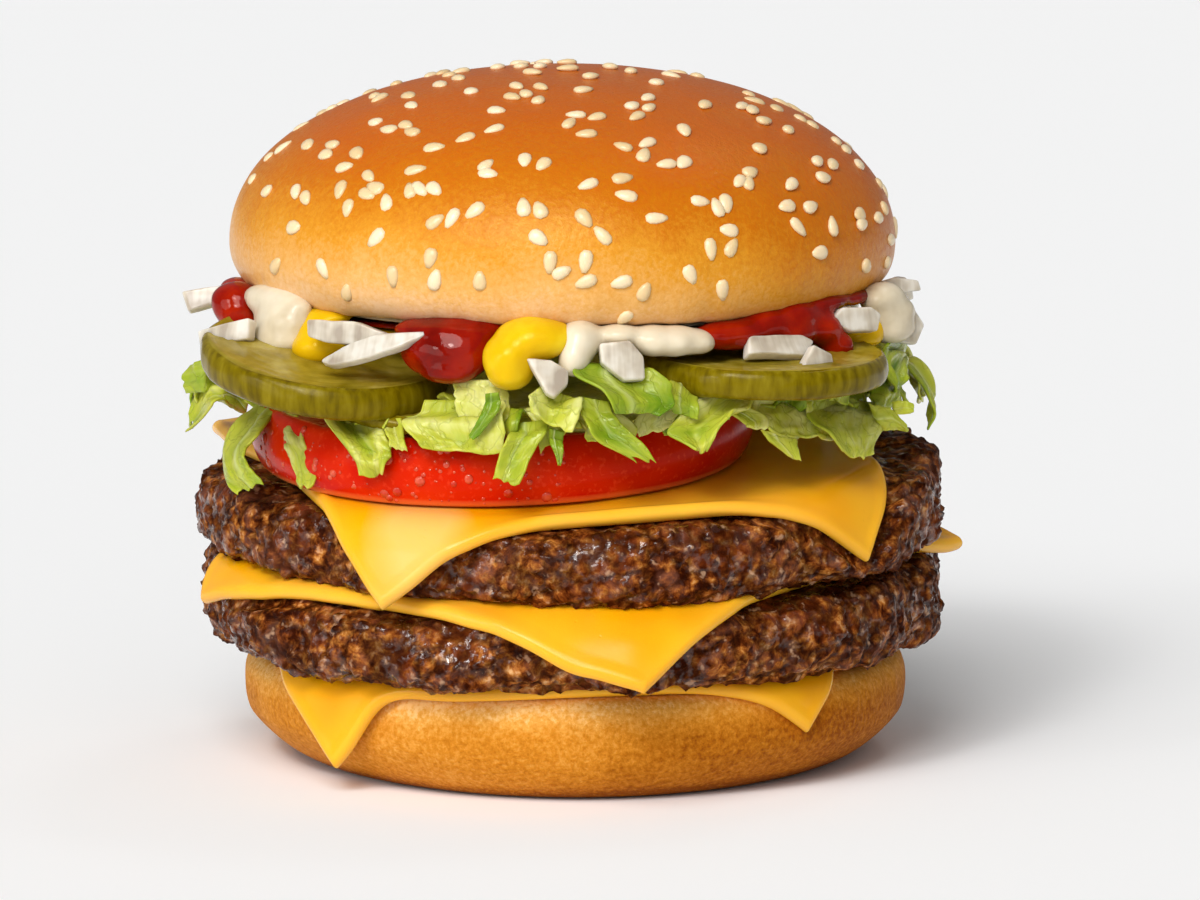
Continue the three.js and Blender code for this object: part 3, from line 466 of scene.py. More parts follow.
def press_in(points, cover, clear, reach=2.5):
    """Sinks the points that come through a cover: each takes the cover's nearest place, and its height over that
    along the cover's normal is cut to what lies clear under it. The cut fades out beside the cover's edges."""
    spots, facing = cover.reshape(-1, 3), normals_away(cover, cover[..., 2].max() - COVER_DEPTH).reshape(-1, 3)
    near_rim = np.hypot(spots[:, 0], spots[:, 1]) > COVER_FROM
    spots, facing = spots[near_rim], facing[near_rim]
    low, high = spots.min(0) - reach, spots.max(0) + reach
    flat = points.reshape(-1, 3)
    inside = np.all((flat > low) & (flat < high), axis=1)
    chosen = np.nonzero(inside & (np.hypot(flat[:, 0], flat[:, 1]) > PRESS_FROM))[0]
    moved = flat.copy()
    for batch in np.array_split(chosen, max(1, len(chosen) // BATCH)):
        here = flat[batch]
        square = (here**2).sum(1)[:, None] + (spots**2).sum(1)[None] - 2 * here @ spots.T
        nearest = square.argmin(1)
        away = here - spots[nearest]
        height = np.einsum("ij,ij->i", away, facing[nearest])
        aside = np.linalg.norm(away - height[:, None] * facing[nearest], axis=1)
        beside = smooth((aside - COVER_STEP) / reach)
        sink = np.maximum(height + clear, 0) * (1 - beside) * (np.abs(height) < PRESS_DEPTH)
        moved[batch] = here - sink[:, None] * facing[nearest]
    return moved.reshape(points.shape)


# ---- Shapes -----------------------------------------------------------------------------------------------------


def bun_outline(angle, phase):
    """A baked bun isn't quite round: two sine waves round it."""
    return 1 + 0.006 * np.sin(2 * angle + phase) + 0.004 * np.sin(3 * angle - phase)


def crown_profile(share):
    """Radius and height down the crown's outside: a superellipse from the top, then a quarter ellipse to its foot."""
    dome = np.clip(share / DOME_SHARE, 0, 1) * np.pi / 2
    foot = np.clip((share - DOME_SHARE) / (1 - DOME_SHARE), 0, 1) * np.pi / 2
    power = 2 / DOME_POWER
    on_dome = share < DOME_SHARE
    radius = np.where(on_dome, BUN_RADIUS * np.sin(dome) ** power, mix(CROWN_FOOT, BUN_RADIUS, np.cos(foot)))
    high = mix(CROWN_WIDEST, CROWN_TOP, np.clip(np.cos(dome), 0, 1) ** power)
    return radius, np.where(on_dome, high, mix(CROWN_WIDEST, CROWN_UNDERSIDE, np.sin(foot)))


def crown_place(angle, share):
    """A place on the crown's outside, from its angle and its share of the profile."""
    radius, height = crown_profile(share)
    swell = bun_outline(angle, 2.2)
    return along(radius * np.cos(angle) * swell + CROWN_SHIFT, radius * np.sin(angle) * swell, height)


def rim_wrinkles(angle, height, cut, gone):
    """Fine upright folds, deepest at a bun's cut edge and gone at another height: two layers of noise, stretched
    upwards."""
    place = 28 * angle / TURN
    coarse = lumps(along(place * 5, 0 * angle, height / 16), 1, 5)
    waves = coarse + 0.5 * lumps(along(place * 11, 0 * angle, height / 9), 1, 6)
    return waves * smooth((height - gone) / (cut - gone))


def crown_parts():
    """The top bun: its profile turned round, with low swells, fine folds at the rim and a flat, crumbly cut face. It
    is baked darkest on top. Further down at its right it is darker, partly baked more and partly painted shade, and
    at its front left it is paler, a painted highlight."""
    share = np.concatenate([np.linspace(0.012, 0.985, 150), [1.0]])
    angle = np.linspace(0, TURN, 300, endpoint=False)
    s, a = np.meshgrid(share, angle, indexing="ij")
    points = crown_place(a, s)
    normal = normals_away(points, CROWN_INSIDE, closed=True)
    relief = 0.35 * lumps(points, 24, 3) + 0.1 * lumps(points, 7, 4)
    relief = relief + 0.17 * rim_wrinkles(a, points[..., 2], CROWN_UNDERSIDE, 85)
    points = points + normal * relief[..., None]
    under = np.linspace(0.96, 0.02, 22)[:, None]
    flat = along(points[-1, :, 0] * under, points[-1, :, 1] * under, CROWN_UNDERSIDE + 0 * under)
    flat[..., 2] += 0.35 * rough(flat, 3, 2, 9) * smooth((1 - under) / 0.1)
    # Painted light: further down at the right the crust is darker, partly baked more and partly painted shade; at the
    # front left it is paler, a painted highlight.
    paler = 1 - 0.34 * smooth(np.cos(a + 0.3) * 1.3) + 0.13 * smooth(np.cos(a + 2.1) * 1.5)
    bake = np.clip(1.1 - (s / 0.93) ** 2.4 * paler + 0.1 * lumps(points, 16, 21), 0, 1)
    return [ring_skin(
        np.concatenate([points, flat]),
        bake=np.concatenate([bake, 0 * flat[..., 0]]),
        crumb=np.concatenate([0 * bake, 1 + 0 * flat[..., 0]]),
    )]


def seed_part(angle, share, turn, sizes, draw):
    """A hulled sesame seed: a flattened drop, narrower towards one end, half sunk in the crust.
    Its rings lie along its length; each is an ellipse whose size falls to nothing at both ends."""
    long, wide, thick = sizes.seed_length / MM, sizes.seed_width / MM, sizes.seed_thick / MM
    long *= 0.9 + 0.2 * draw.random()
    wide *= 0.88 + 0.24 * draw.random()
    step = np.array([-0.93, -0.62, -0.1, 0.45, 0.9])[:, None]
    a = np.linspace(0, TURN, 10, endpoint=False)[None]
    girth = np.sqrt(1 - step**2) * (1 - 0.32 * step)
    local = along(step * long / 2 + 0 * a, girth * np.cos(a) * wide / 2, girth * np.sin(a) * thick / 2)
    delta = 1e-3
    place = crown_place(angle, share)
    ahead = crown_place(angle + delta, share) - place
    below = crown_place(angle, share + delta) - place
    ahead, below = ahead / np.linalg.norm(ahead), below / np.linalg.norm(below)
    out = np.cross(below, ahead)
    out *= np.sign(out @ (place - np.array([CROWN_SHIFT, 0, CROWN_INSIDE])))
    way = ahead * math.cos(turn) + below * math.sin(turn)
    axes = np.stack([way, np.cross(out, way), out])
    points = local @ axes + place + out * SEED_LIFT
    return ring_skin(points, tone=np.full(points.shape[:2], draw.random()), tip=step + 0 * a)


def seed_parts(sizes):
    """The seeds that show from the front, then seeds for the back, drawn at random and kept apart."""
    draw = np.random.default_rng(2024)
    places = [tuple(map(int, place.split(","))) for place in SEED_PLACES.split()]
    places = [(math.radians(a), s / 1000, math.radians(t)) for a, s, t in places]
    spots = [crown_place(a, s) for a, s, _ in places]
    while len(places) < sizes.seed_count:
        lift = draw.random() ** 0.7
        angle, turn = mix(-0.25, math.pi + 0.25, draw.random()), TURN * draw.random()
        share = DOME_SHARE * math.acos(mix(0.06, 0.995, lift)) / (math.pi / 2) * 1.08
        spot = crown_place(angle, share)
        if share < SEED_LOWEST and all(np.linalg.norm(spot - other) > SEED_GAP for other in spots):
            places.append((angle, share, turn))
            spots.append(spot)
    return [seed_part(a, s, t, sizes, draw) for a, s, t in places]


def heel_parts(covers):
    """The bottom bun: two rounded quarters, from its foot out to its widest ring and in to its shoulder, between two
    flat faces. Its foot is drawn in at the left and right, and the cheese presses into it. It is baked darkest from
    half way down; towards its right it is darker still, painted shade."""
    rise = np.linspace(0, np.pi / 2, 26)
    power = 2 / HEEL_POWER
    low = [(mix(HEEL_FOOT, BUN_RADIUS, np.sin(t) ** 1.3), mix(HEEL_WIDEST, 0, np.cos(t))) for t in rise]
    high = [
        (mix(HEEL_SHOULDER, BUN_RADIUS, np.cos(t) ** power), mix(HEEL_WIDEST, HEEL_HEIGHT, np.sin(t) ** power))
        for t in rise[1:]
    ]
    inner = np.linspace(0.03, 0.97, 14)
    bottom, top = [(HEEL_FOOT * r, 0) for r in inner], [(HEEL_SHOULDER * r, HEEL_HEIGHT) for r in inner[::-1]]
    radius, height = np.array(bottom + low + high + top).T[:, :, None]
    angle = np.linspace(0, TURN, 300, endpoint=False)[None]
    swell = bun_outline(angle, 1)
    tucked = HEEL_TUCK * smooth(np.abs(np.cos(angle))) * np.clip(1 - height / HEEL_TUCK_HEIGHT, 0, 1)
    radius = radius * (1 - tucked / HEEL_FOOT)
    points = along(radius * np.cos(angle) * swell + HEEL_SHIFT, radius * np.sin(angle) * swell, height + 0 * angle)
    wall = smooth((radius - 40) / 2) + 0 * angle
    a = np.broadcast_to(angle, points.shape[:2])
    relief = 0.3 * lumps(points, 20, 33) + 0.12 * lumps(points, 6, 34)
    relief = (relief + 0.2 * rim_wrinkles(a, points[..., 2], HEEL_HEIGHT, 5)) * wall * smooth(points[..., 2] / 1.5)
    points = points + relief[..., None] * along(np.cos(a), np.sin(a), 0)
    for cover in covers:
        points = press_in(points, cover, 0.7)
    level = points[..., 2] / HEEL_HEIGHT
    bake = 0.5 * (1 - smooth((level - 0.58) / 0.38)) + 0.5 * smooth((0.16 - level) / 0.16)
    # Darker towards the right, painted shade; a little darker at the left side too.
    bake = bake + 0.34 * smooth((np.cos(a) + 0.4) / 1.2) + 0.2 * smooth(-np.cos(a) - 0.4)
    bake = np.clip(bake + 0.12 * lumps(points, 9, 35), 0, 1)
    crumb = smooth((points[..., 2] - HEEL_HEIGHT + 0.4) / 0.3) * (1 - smooth((radius - HEEL_SHOULDER + 1) / 1.5))
    return [ring_skin(points, bake=bake, crumb=crumb)]


def patty_parts(patty, depth, covers):
    """A ground beef patty between two tilted planes, its rim a superellipse. Its relief is made of clods: round
    lumps about random middles with grooves where two lumps meet, at three sizes, on a grid pushed about by noise."""
    turn = np.linspace(0, np.pi, 46)
    side = -np.cos(turn)
    bulge = (1 - np.abs(side) ** PATTY_POWER) ** (1 / PATTY_POWER)
    rim_share = PATTY_RIM / PATTY_RADIUS
    inner = np.concatenate([np.linspace(0.04, 0.66, 8), np.linspace(0.68, 1, 34)[:-1]]) * (1 - rim_share)
    out = np.concatenate([inner, 1 - rim_share * (1 - bulge), inner[::-1]])[:, None]
    share = np.concatenate([0 * inner, (1 + side) / 2, 0 * inner + 1])[:, None]
    a = np.linspace(0, TURN, 620, endpoint=False)[None]
    phase, seed = patty["phase"], patty["seed"]
    radius = PATTY_RADIUS * (1 + 0.012 * np.sin(2 * a + phase) + 0.011 * np.sin(5 * a - phase)) * out
    x, y = radius * np.cos(a) + patty["shift"], radius * np.sin(a)
    z = mix(plane_height(patty["bottom"], x, y), plane_height(patty["top"], x, y), share)
    points = along(x, y, z)
    rim = smooth((out - 0.8) / 0.15)
    push = lumps(points, 6.5, seed + 40)
    points += 1.1 * (push * rim)[..., None] * along(np.cos(a), np.sin(a), 0 * a)
    points[..., 2] -= rim * (1 - share) + 0.2 * (1 + push) * rim * share
    normal = normals_away(points, points[..., 2].mean(), closed=True)

    def pushed(size, reach, first):
        return points + reach * along(*(lumps(points, size, first + k) for k in range(3)))

    # Clods a few millimetres across with seams between them, then roasted nodules on them, then beads on those.
    near, second, _ = clods(pushed(5, 2.4, seed), 4.6, seed)
    seam = 1 - smooth((second - near) / 0.3)
    grit, _, owner = clods(pushed(2.2, 1.1, seed + 5), 1.9, seed + 9)
    bead, _, bead_owner = clods(pushed(1.2, 0.5, seed + 15), 1.0, seed + 19)
    nodule = smooth((0.64 - grit) / 0.5) * smooth((owner - 0.4) / 0.3)
    speck = smooth((0.64 - bead) / 0.45) * smooth((bead_owner - 0.4) / 0.3)
    swell = rough(points, 9, 2, seed + 30)
    relief = 1.05 * swell + 0.5 * (0.5 - near) - 0.3 * seam + 0.55 * nodule + 0.28 * speck
    relief = relief + 0.12 * rough(points, 1.6, 2, seed + 20) - 0.1
    points = points + normal * (depth * relief * mix(0.6, 1, rim))[..., None]
    for cover in covers:
        points = press_in(points, cover, 1.15)
    # Painted shade: the seams between clods, less over nodules and beads, darken the colour.
    crevice = np.clip(0.75 * seam - 0.6 * nodule - 0.3 * speck, 0, 1)
    return [ring_skin(points, crevice=crevice, sear=np.clip(0.9 * nodule + 0.6 * speck, 0, 1), swell=swell)]


def cheese_surface(cheese, a, b):
    """The middle of a square slice laid on a round support. What reaches past the support's edge bends down over it
    along the line from the middle to the nearest corner: first in an arc, then straight at its steepest. The
    left, right and front sides may be drawn out by their own weight, most at their middles, the left side's back end
    as a tongue, and the front side may be hollow near its left corner."""
    half = cheese["side"] / 2
    turn = math.radians(cheese["turn"])

    def spin(px, py):
        c, s = math.cos(turn), math.sin(turn)
        return px * c - py * s + cheese["x"], px * s + py * c + cheese["y"]

    signs = np.array([[1, 1], [-1, 1], [-1, -1], [1, -1]]) * half
    corner = np.arctan2(*spin(signs[:, 0], signs[:, 1])[::-1])
    soft = 1 - 0.01 * np.abs(a * b) ** 8
    left, right, front, tongue, hollow = cheese["drawn"]
    sideways = (1 - b**2) * (right * np.clip(a, 0, 1) ** 2 - left * np.clip(-a, 0, 1) ** 2)
    sideways = sideways - tongue * np.clip(-a, 0, 1) ** 2 * smooth((b - 0.2) / 0.5)
    forwards = ((1 - a**2) ** 3 * front - hollow * np.exp(-(((a + 0.65) / 0.2) ** 2))) * np.clip(-b, 0, 1) ** 2
    px, py = spin(a * half * soft + sideways, b * half * soft - forwards)
    angle = np.arctan2(py, px)
    off = np.abs(np.angle(np.exp(1j * (angle[..., None] - corner))))
    nearest = off.argmin(-1)
    pull = 1 - smooth((off.min(-1) - 0.2) / 0.5)
    wx = mix(np.cos(angle), np.cos(corner[nearest]), pull)
    wy = mix(np.sin(angle), np.sin(corner[nearest]), pull)
    size = np.hypot(wx, wy)
    wx, wy = wx / size, wy / size
    ahead, aside = px * wx + py * wy, py * wx - px * wy
    edge = mix(cheese["edge"][0], np.array(cheese["edge"], float)[nearest], pull)
    over = ahead - np.sqrt(np.maximum(edge**2 - aside**2, 0))
    steep = np.radians(np.array(cheese["steep"], float))[nearest]
    bend = cheese["bend"]
    bent = np.clip(over / bend, 0, 1) * steep
    straight = np.maximum(over - bend, 0)
    reach = ahead - np.maximum(over, 0) + bend / steep * np.sin(bent) + straight * np.cos(steep)
    fall = bend / steep * (1 - np.cos(bent)) + straight * np.sin(steep)
    x, y = wx * reach - wy * aside, wy * reach + wx * aside
    flat = along(px, py, 0 * px)
    billow = np.sin(0.2 * px + 0.13 * py) + 0.9 * lumps(flat, 11, 61) + 0.6 * lumps(flat, 5, 62)
    wave = cheese["wave"] * billow * smooth(over / bend)
    z = plane_height(cheese["plane"], x, y) + LAY + CHEESE_HALF - fall + wave
    return along(x, y, z)


def cheese_grid(cheese, count):
    """Places from -1 to 1 along a slice's two sides, with fine ones in its rounded edge."""
    place = edge_places(count, cheese["side"], CHEESE_EDGE) / cheese["side"] * 2 - 1
    return np.meshgrid(place, place, indexing="ij")


def cheese_parts(cheese, thick):
    """A slice of cheese about its middle surface, uneven in thickness and a little swollen along its edge."""
    a, b = cheese_grid(cheese, 116)
    edge = (1 - np.maximum(np.abs(a), np.abs(b))) * cheese["side"] / 2
    middle = cheese_surface(cheese, a, b)
    swollen = 1 + 0.12 * lumps(middle, 9, 71) + 0.35 * np.exp(-(((edge - 1.1) / 0.8) ** 2))
    return [pillow(middle, rounded(edge, CHEESE_EDGE) / CHEESE_EDGE * thick / 2 * swollen, rim=np.exp(-edge / 1.6))]


def slice_part(x, y, plane, radius, thick, bulge, phase, cols, relief):
    """A round slice on a tilted plane, its skin a parabola between its cut faces, their meeting edge softened."""
    share = np.linspace(0.0, 1.0, 22)
    soft = 0.35 * (np.exp(-share * thick / 0.25) + np.exp(-(1 - share) * thick / 0.25))
    side = radius - bulge * (2 * share - 1) ** 2 - soft
    inner = np.concatenate([np.linspace(0.03, 0.95, 24), [0.975, 0.99]])
    radii = np.concatenate([side[0] * inner, side, side[-1] * inner[::-1]])[:, None]
    height = np.concatenate([0 * inner, share, 0 * inner + 1])[:, None] * thick
    skin = np.concatenate([0 * inner, 1 + 0 * share, 0 * inner])[:, None]
    a = np.linspace(0, TURN, cols, endpoint=False)[None]
    swell = 1 + SLICE_OVAL * np.sin(2 * a + phase)
    points = along(radii * np.cos(a) * swell + x, radii * np.sin(a) * swell + y, height + 0 * a)
    points[..., 2] += plane_height(plane, points[..., 0], points[..., 1])
    upright = along(0 * a, 0 * a, 1) * np.sign(height - thick / 2)[..., None]
    normal = mix(upright, along(np.cos(a), np.sin(a), 0), skin[..., None])
    points = points + normal * relief(points, radii / radius, skin)[..., None]
    skin = skin + 0 * a
    return ring_skin(points, skin=skin, out=radii / radius + 0 * a, up=height / thick + 0 * a)


def tomato_relief(points, _, skin):
    """Shallow lobes round the slice, and soft bumps on its cut faces."""
    return 0.35 * lumps(points, 17, 81) * skin + 0.25 * lumps(points, 5, 82) * (1 - skin)


def tomato_parts():
    """One thick slice of tomato."""
    return [slice_part(plane=TOMATO_BOTTOM, cols=300, relief=tomato_relief, **TOMATO)]


DROPLET_ANGLES = (-165, -75)
DROPLET_HEIGHT = 0.42  # of a drop's radius


def droplet_parts(sizes):
    """Water on the tomato's skin, at its left and front: low domes, most of them tiny, each a squashed ball half sunk
    in the skin."""
    draw = np.random.default_rng(31)
    parts = []
    for _ in range(sizes.droplet_count):
        angle = math.radians(draw.uniform(*DROPLET_ANGLES))
        share = draw.uniform(0.06, 0.94)
        size = sizes.droplet_size / MM * (0.2 + 0.8 * draw.random() ** 4)
        out = TOMATO["radius"] - TOMATO["bulge"] * (2 * share - 1) ** 2
        swell = 1 + SLICE_OVAL * math.sin(2 * angle + TOMATO["phase"])
        spot = np.array([out * math.cos(angle) * swell + TOMATO["x"], out * math.sin(angle) * swell + TOMATO["y"], 0])
        spot[2] = plane_height(TOMATO_BOTTOM, spot[0], spot[1]) + share * TOMATO["thick"]
        facing = np.array([math.cos(angle), math.sin(angle), 4 * TOMATO["bulge"] * (2 * share - 1) / TOMATO["thick"]])
        facing /= np.linalg.norm(facing)
        spot += facing * 0.35 * lumps(spot, 17, 81)
        lift = np.linspace(-0.95, 0.97, 6)[:, None]
        a = np.linspace(0, TURN, 10, endpoint=False)[None]
        girth = np.sqrt(1 - lift**2)
        ahead = np.cross(facing, [0, 0, 1.0])
        ahead /= np.linalg.norm(ahead)
        longer = draw.uniform(0.9, 1.2)
        upwards = lift * size * DROPLET_HEIGHT + 0 * a
        local = along(girth * np.cos(a) * size, girth * np.sin(a) * size * longer, upwards)
        parts.append(ring_skin(local @ np.stack([ahead, np.cross(facing, ahead), facing]) + spot))
    return parts


def pickle_relief(points, out, skin):
    """Warts and ridges on the skin; on the cut faces, ripples that follow the rim, and sunken seeds."""
    warts = 0.3 * lumps(points, 6, 91) + 0.1 * lumps(points, 2.2, 92)
    ripples = 0.12 * np.sin(out * 70 + 2.5 * lumps(points, 6, 93)) * smooth((out - 0.45) / 0.3)
    sunk = -0.22 * smooth(lumps(points, 3.2, 94) * 2 - 0.4) * (1 - smooth((out - 0.6) / 0.15))
    edge = smooth((1 - out) / 0.02)
    return np.where(skin > 0.5, warts, (ripples + sunk) * edge + 0.3 * lumps(points, 9, 95) * edge)


def pickle_parts(pickle, phase):
    """One tilted slice of pickle."""
    x, y, (rise_x, rise_y) = pickle["x"], pickle["y"], pickle["rise"]
    plane = (pickle["z"] - rise_x * x - rise_y * y, rise_x, rise_y)
    return [slice_part(x, y, plane, PICKLE_RADIUS, pickle["thick"], 0.6, phase, 200, pickle_relief)]


def onion_part(x, y, z, heading, lean, thick, corners, seed):
    """A diced piece of onion: a plate cut with straight sides from one ring of the bulb, so that it bows a little.
    Its outline runs through its corners, evened out a little, and its edge is a half circle."""
    corners = np.array(corners, float)
    loop = np.concatenate([corners, corners[:1]])
    run = np.concatenate([[0], np.cumsum(np.linalg.norm(np.diff(loop, axis=0), axis=1))])
    even = np.linspace(0, run[-1], 120, endpoint=False)
    outline = np.stack([np.interp(even, run, loop[:, k]) for k in (0, 1)], -1)
    for _ in range(4):
        outline = (np.roll(outline, 1, 0) + 2 * outline + np.roll(outline, -1, 0)) / 4
    centre = outline.mean(0)
    size = np.linalg.norm(outline - centre, axis=1)[None]
    radius = 0.38
    turn = np.linspace(0, np.pi / 2, 6)
    out = np.concatenate([np.linspace(0.12, 1, 8)[:-1], 1 + 0 * turn])[:, None]
    inset = np.concatenate([0 * out[:7, 0] + radius, radius * (1 - np.sin(turn))])[:, None]
    side = np.concatenate([0 * out[:7, 0] + 1, 1 - (1 - np.cos(turn)) * 2 * radius / thick])[:, None]
    out, inset, side = (np.concatenate([k, sign * k[::-1]]) for k, sign in ((out, 1), (inset, 1), (side, -1)))
    share = np.maximum(size * out - inset * np.minimum(1, out * size / radius), 0.02) / size
    flat = centre + (outline - centre)[None] * share[..., None]
    depth = side * thick / 2 + flat[..., 0] ** 2 * 0.018 - 0.2
    points = along(flat[..., 0], depth, flat[..., 1])
    points += 0.1 * along(*(lumps(points, 2.2, seed + k) for k in range(3)))
    place = points + 20 * seed
    points = turned_by(turned_by(points, x=lean), z=heading)
    return ring_skin(points + np.array([x, y, z]), place=place, edge=np.exp(-inset / 0.2) + 0 * flat[..., 0])


def dollop_part(angle, out, z, radial, tangential, upright):
    """A rounded blob: a ball, squashed and set at a polar place."""
    lift = np.sin(np.linspace(-1.45, 1.45, 26))[:, None]
    a = np.linspace(0, TURN, 40, endpoint=False)[None]
    girth = np.sqrt(1 - lift**2)
    ball = 1.14 * along(girth * np.cos(a) * radial, girth * np.sin(a) * tangential, lift * upright + 0 * a)
    ball *= 1 + 0.07 * lumps(ball + np.array([angle, z, out]), 3, 7)[..., None]
    return ring_skin(turned_by(ball + np.array([out, 0, z]), z=angle))


def sauce_parts(height, dollops):
    """A thin spread under the crown, with the dollops that have squeezed out of it."""
    reach = SAUCE_RADIUS + 3
    radii = np.concatenate([np.linspace(2, reach - 0.3, 20), [reach, reach], np.linspace(reach - 0.3, 2, 20)])
    level = np.concatenate([np.zeros(20), [0.2, 0.55], np.full(20, SAUCE_THICK)])[:, None] + height
    a = np.linspace(0, TURN, 120, endpoint=False)[None]
    spread = ring_skin(along(radii[:, None] * np.cos(a), radii[:, None] * np.sin(a), level + 0 * a))
    return [spread] + [dollop_part(*dollop) for dollop in dollops]


def polar(angle, out, z):
    """Points from an angle in degrees, a distance out and a height."""
    return along(out * np.cos(np.radians(angle)), out * np.sin(np.radians(angle)), z)


def leaf_part(green, rows, seed, thick):
    """A shred of leaf, cut nearly straight: a sheet drawn through rows of two edge points, smoothly from row to row
    (Catmull-Rom), straight across each row. It is creased, rippled and waved towards its sides, with a ragged end."""
    draw = np.random.default_rng(seed)
    u, v = np.meshgrid(edge_places(40, 1, 0.02), edge_places(26, 1, 0.03), indexing="ij")
    left, left_high, right, right_high, out = np.array(rows, float).T
    points = np.stack([polar(left, out, left_high), polar(right, out, right_high)], 1)
    padded = np.concatenate([2 * points[:1] - points[1:2], points, 2 * points[-1:] - points[-2:-1]])
    s = u * (1 - 0.09 * np.interp(v * 7, np.arange(8), draw.random(8)))
    index = np.minimum((s * (len(points) - 1)).astype(int), len(points) - 2)
    f = (s * (len(points) - 1) - index)[..., None, None]
    before, here, ahead, after = (padded[index + k] for k in range(4))
    edges = here + 0.5 * f * (ahead - before + f * (2 * before - 5 * here + 4 * ahead - after + f * (
        3 * (here - ahead) + after - before)))
    torn = [0.05 * np.interp(s * 9, np.arange(10), draw.random(10)) for _ in range(2)]
    middle = mix(edges[..., 0, :], edges[..., 1, :], mix(torn[0], 1 - torn[1], v)[..., None])
    wide = np.linalg.norm(points[:, 1] - points[:, 0], axis=1).mean()
    long = np.linalg.norm(np.diff(points.mean(1), axis=0), axis=1).sum()
    side = 2 * v - 1
    flat = along(s * long, side * wide / 2, seed * 3.7)
    face = grid_normals(middle)
    crease = np.abs(lumps(flat * np.array([0.7, 1, 1]), 5, 3))
    ripple = np.abs(lumps(flat, 2.2, 4))
    wave = (0.2 + 0.045 * wide) * np.sin(TURN * (s * long / 12 + draw.random() + 0.2 * side)) * side**2
    fold = draw.uniform(-0.12, 0.16) * wide * np.abs(side - draw.uniform(-0.5, 0.5))
    lift = (1.5 * crease + 0.45 * ripple + wave - fold) * smooth(s / 0.15)
    middle = middle + face * lift[..., None]
    reach = np.hypot(middle[..., 0], middle[..., 1])
    held = np.where(reach > LEAF_REACH, LEAF_REACH + (reach - LEAF_REACH) * LEAF_GIVE, reach) / reach
    middle = middle * np.stack([held, held, 1 + 0 * held], -1)
    edge = np.minimum(np.minimum(v, 1 - v) * wide, np.minimum(u, 1 - u) * long)
    rib = np.exp(-(((side - draw.uniform(-0.4, 0.4)) / 0.1) ** 2)) * (1 - 0.6 * s) * draw.random()
    half = rounded(edge, 0.3) / 0.3 * thick / 2 * mix(1.3, 0.8, s) * (1 + 0.9 * rib)
    tone = np.clip(green + 0.5 * (crease - 0.3) + 0.2 * (s - 0.5) + 0 * side, 0, 1)
    return pillow(middle, half, place=flat, tone=tone, rib=rib)


def hanging_rows(draw, start, top, tip, out, width):
    """Rows for a shred that leaves the heap at an angle, arches over its edge and hangs aslant."""
    end = start + draw.uniform(-7, 7)
    half = math.degrees(width / 2 / out)
    slant = draw.uniform(-0.3, 0.3) * width
    bow = mix(start, end, 0.4)
    return (
        (start - half, top - 1, start + half, top - 1, LETTUCE_RADIUS + 1),
        (bow - half, top, bow + half, top, mix(LETTUCE_RADIUS, out, 0.7)),
        (end - half, mix(top, tip, 0.6), end + half, mix(top, tip, 0.5), out),
        (end - 0.8 * half, tip - slant, end + 0.8 * half, tip + slant, out + draw.uniform(-1, 1)),
    )


LONG_SHREDS, SHORT_SHREDS = 18, 70


def lettuce_parts(thick):
    """A folded core that lies on the tomato and rises between the pickle slices, then the front leaves, long shreds
    that hang out at the back, and a ring of short ones all round, both drawn at random."""
    profile = np.array([
        (0.03, 0), (0.4, 0), (0.82, 0), (0.84, 0.45), (1, 0.62), (0.97, 0.85), (0.84, 1), (0.4, 1), (0.03, 1),
    ])
    steps = np.linspace(0, 1, 60)
    place = np.linspace(0, 1, len(profile))
    out, share = (np.interp(steps, place, profile[:, k])[:, None] for k in (0, 1))
    a = np.linspace(0, TURN, 220, endpoint=False)[None]
    radius = (LETTUCE_RADIUS - 1.5) * out
    x = radius * np.cos(a) + mix(2, 0, smooth(2 * share))
    y = radius * np.sin(a) + mix(6, 0, smooth(2 * share))
    points = along(x, y, mix(plane_height(TOMATO_BOTTOM, x, y) + 0.1, LETTUCE_TOP - 0.6, share))
    beyond = smooth((np.hypot(x - TOMATO["x"], y - TOMATO["y"]) - 33) / 4) * smooth((8 - y) / 12)
    points[..., 2] = mix(points[..., 2], np.maximum(points[..., 2], LETTUCE_TOP - 4.5), beyond)
    inwards = HEAP_RADIUS - np.hypot(points[..., 0], points[..., 1])
    heaped = smooth(inwards / HEAP_SLOPE) * smooth((share - 0.9) / 0.1)
    points[..., 2] += (LETTUCE_HEAP - LETTUCE_TOP) * heaped
    folds = np.abs(rough(points * np.array([1, 1, 1.6]), 6, 3, 55))
    points += along(np.cos(a), np.sin(a), 0 * a) * (1.6 * folds * smooth((out - 0.5) / 0.3))[..., None]
    tone = np.clip(0.35 + 0.5 * lumps(points, 8, 56), 0, 1)
    parts = [ring_skin(points, place=points, tone=tone, rib=np.clip(0.6 - folds, 0, 1))]
    parts += [leaf_part(*leaf, seed=100 + i, thick=thick) for i, leaf in enumerate(FRONT_LEAVES)]
    draw = np.random.default_rng(77)
    for i in range(LONG_SHREDS):
        angle = mix(-8, 186, (i + 0.3 + 0.4 * draw.random()) / LONG_SHREDS)
        rows = hanging_rows(
            draw, angle, draw.uniform(58, 61), draw.uniform(48, 57), draw.uniform(54, 58), draw.uniform(5, 11)
        )
        parts.append(leaf_part(draw.uniform(0.1, 0.9), rows, seed=300 + i, thick=thick))
    for i in range(SHORT_SHREDS):
        angle = -180 + 360 * (i + draw.random()) / SHORT_SHREDS
        rows = hanging_rows(
            draw, angle, draw.uniform(58, 62), draw.uniform(54, 58.5), draw.uniform(48.5, 52.5), draw.uniform(3, 8)
        )
        parts.append(leaf_part(draw.uniform(0.1, 0.8), rows, seed=400 + i, thick=thick))
    return parts


# ---- Materials --------------------------------------------------------------------------------------------------


def linear(code):
    """The linear colour of an sRGB hex code."""
    values = (int(code[i : i + 2], 16) / 255 for i in (0, 2, 4))
    return tuple(v / 12.92 if v <= 0.04045 else ((v + 0.055) / 1.055) ** 2.4 for v in values)


def per(size):
    """The scale of a texture with a lump for each so many millimetres."""
    return 1 / (size * MM)


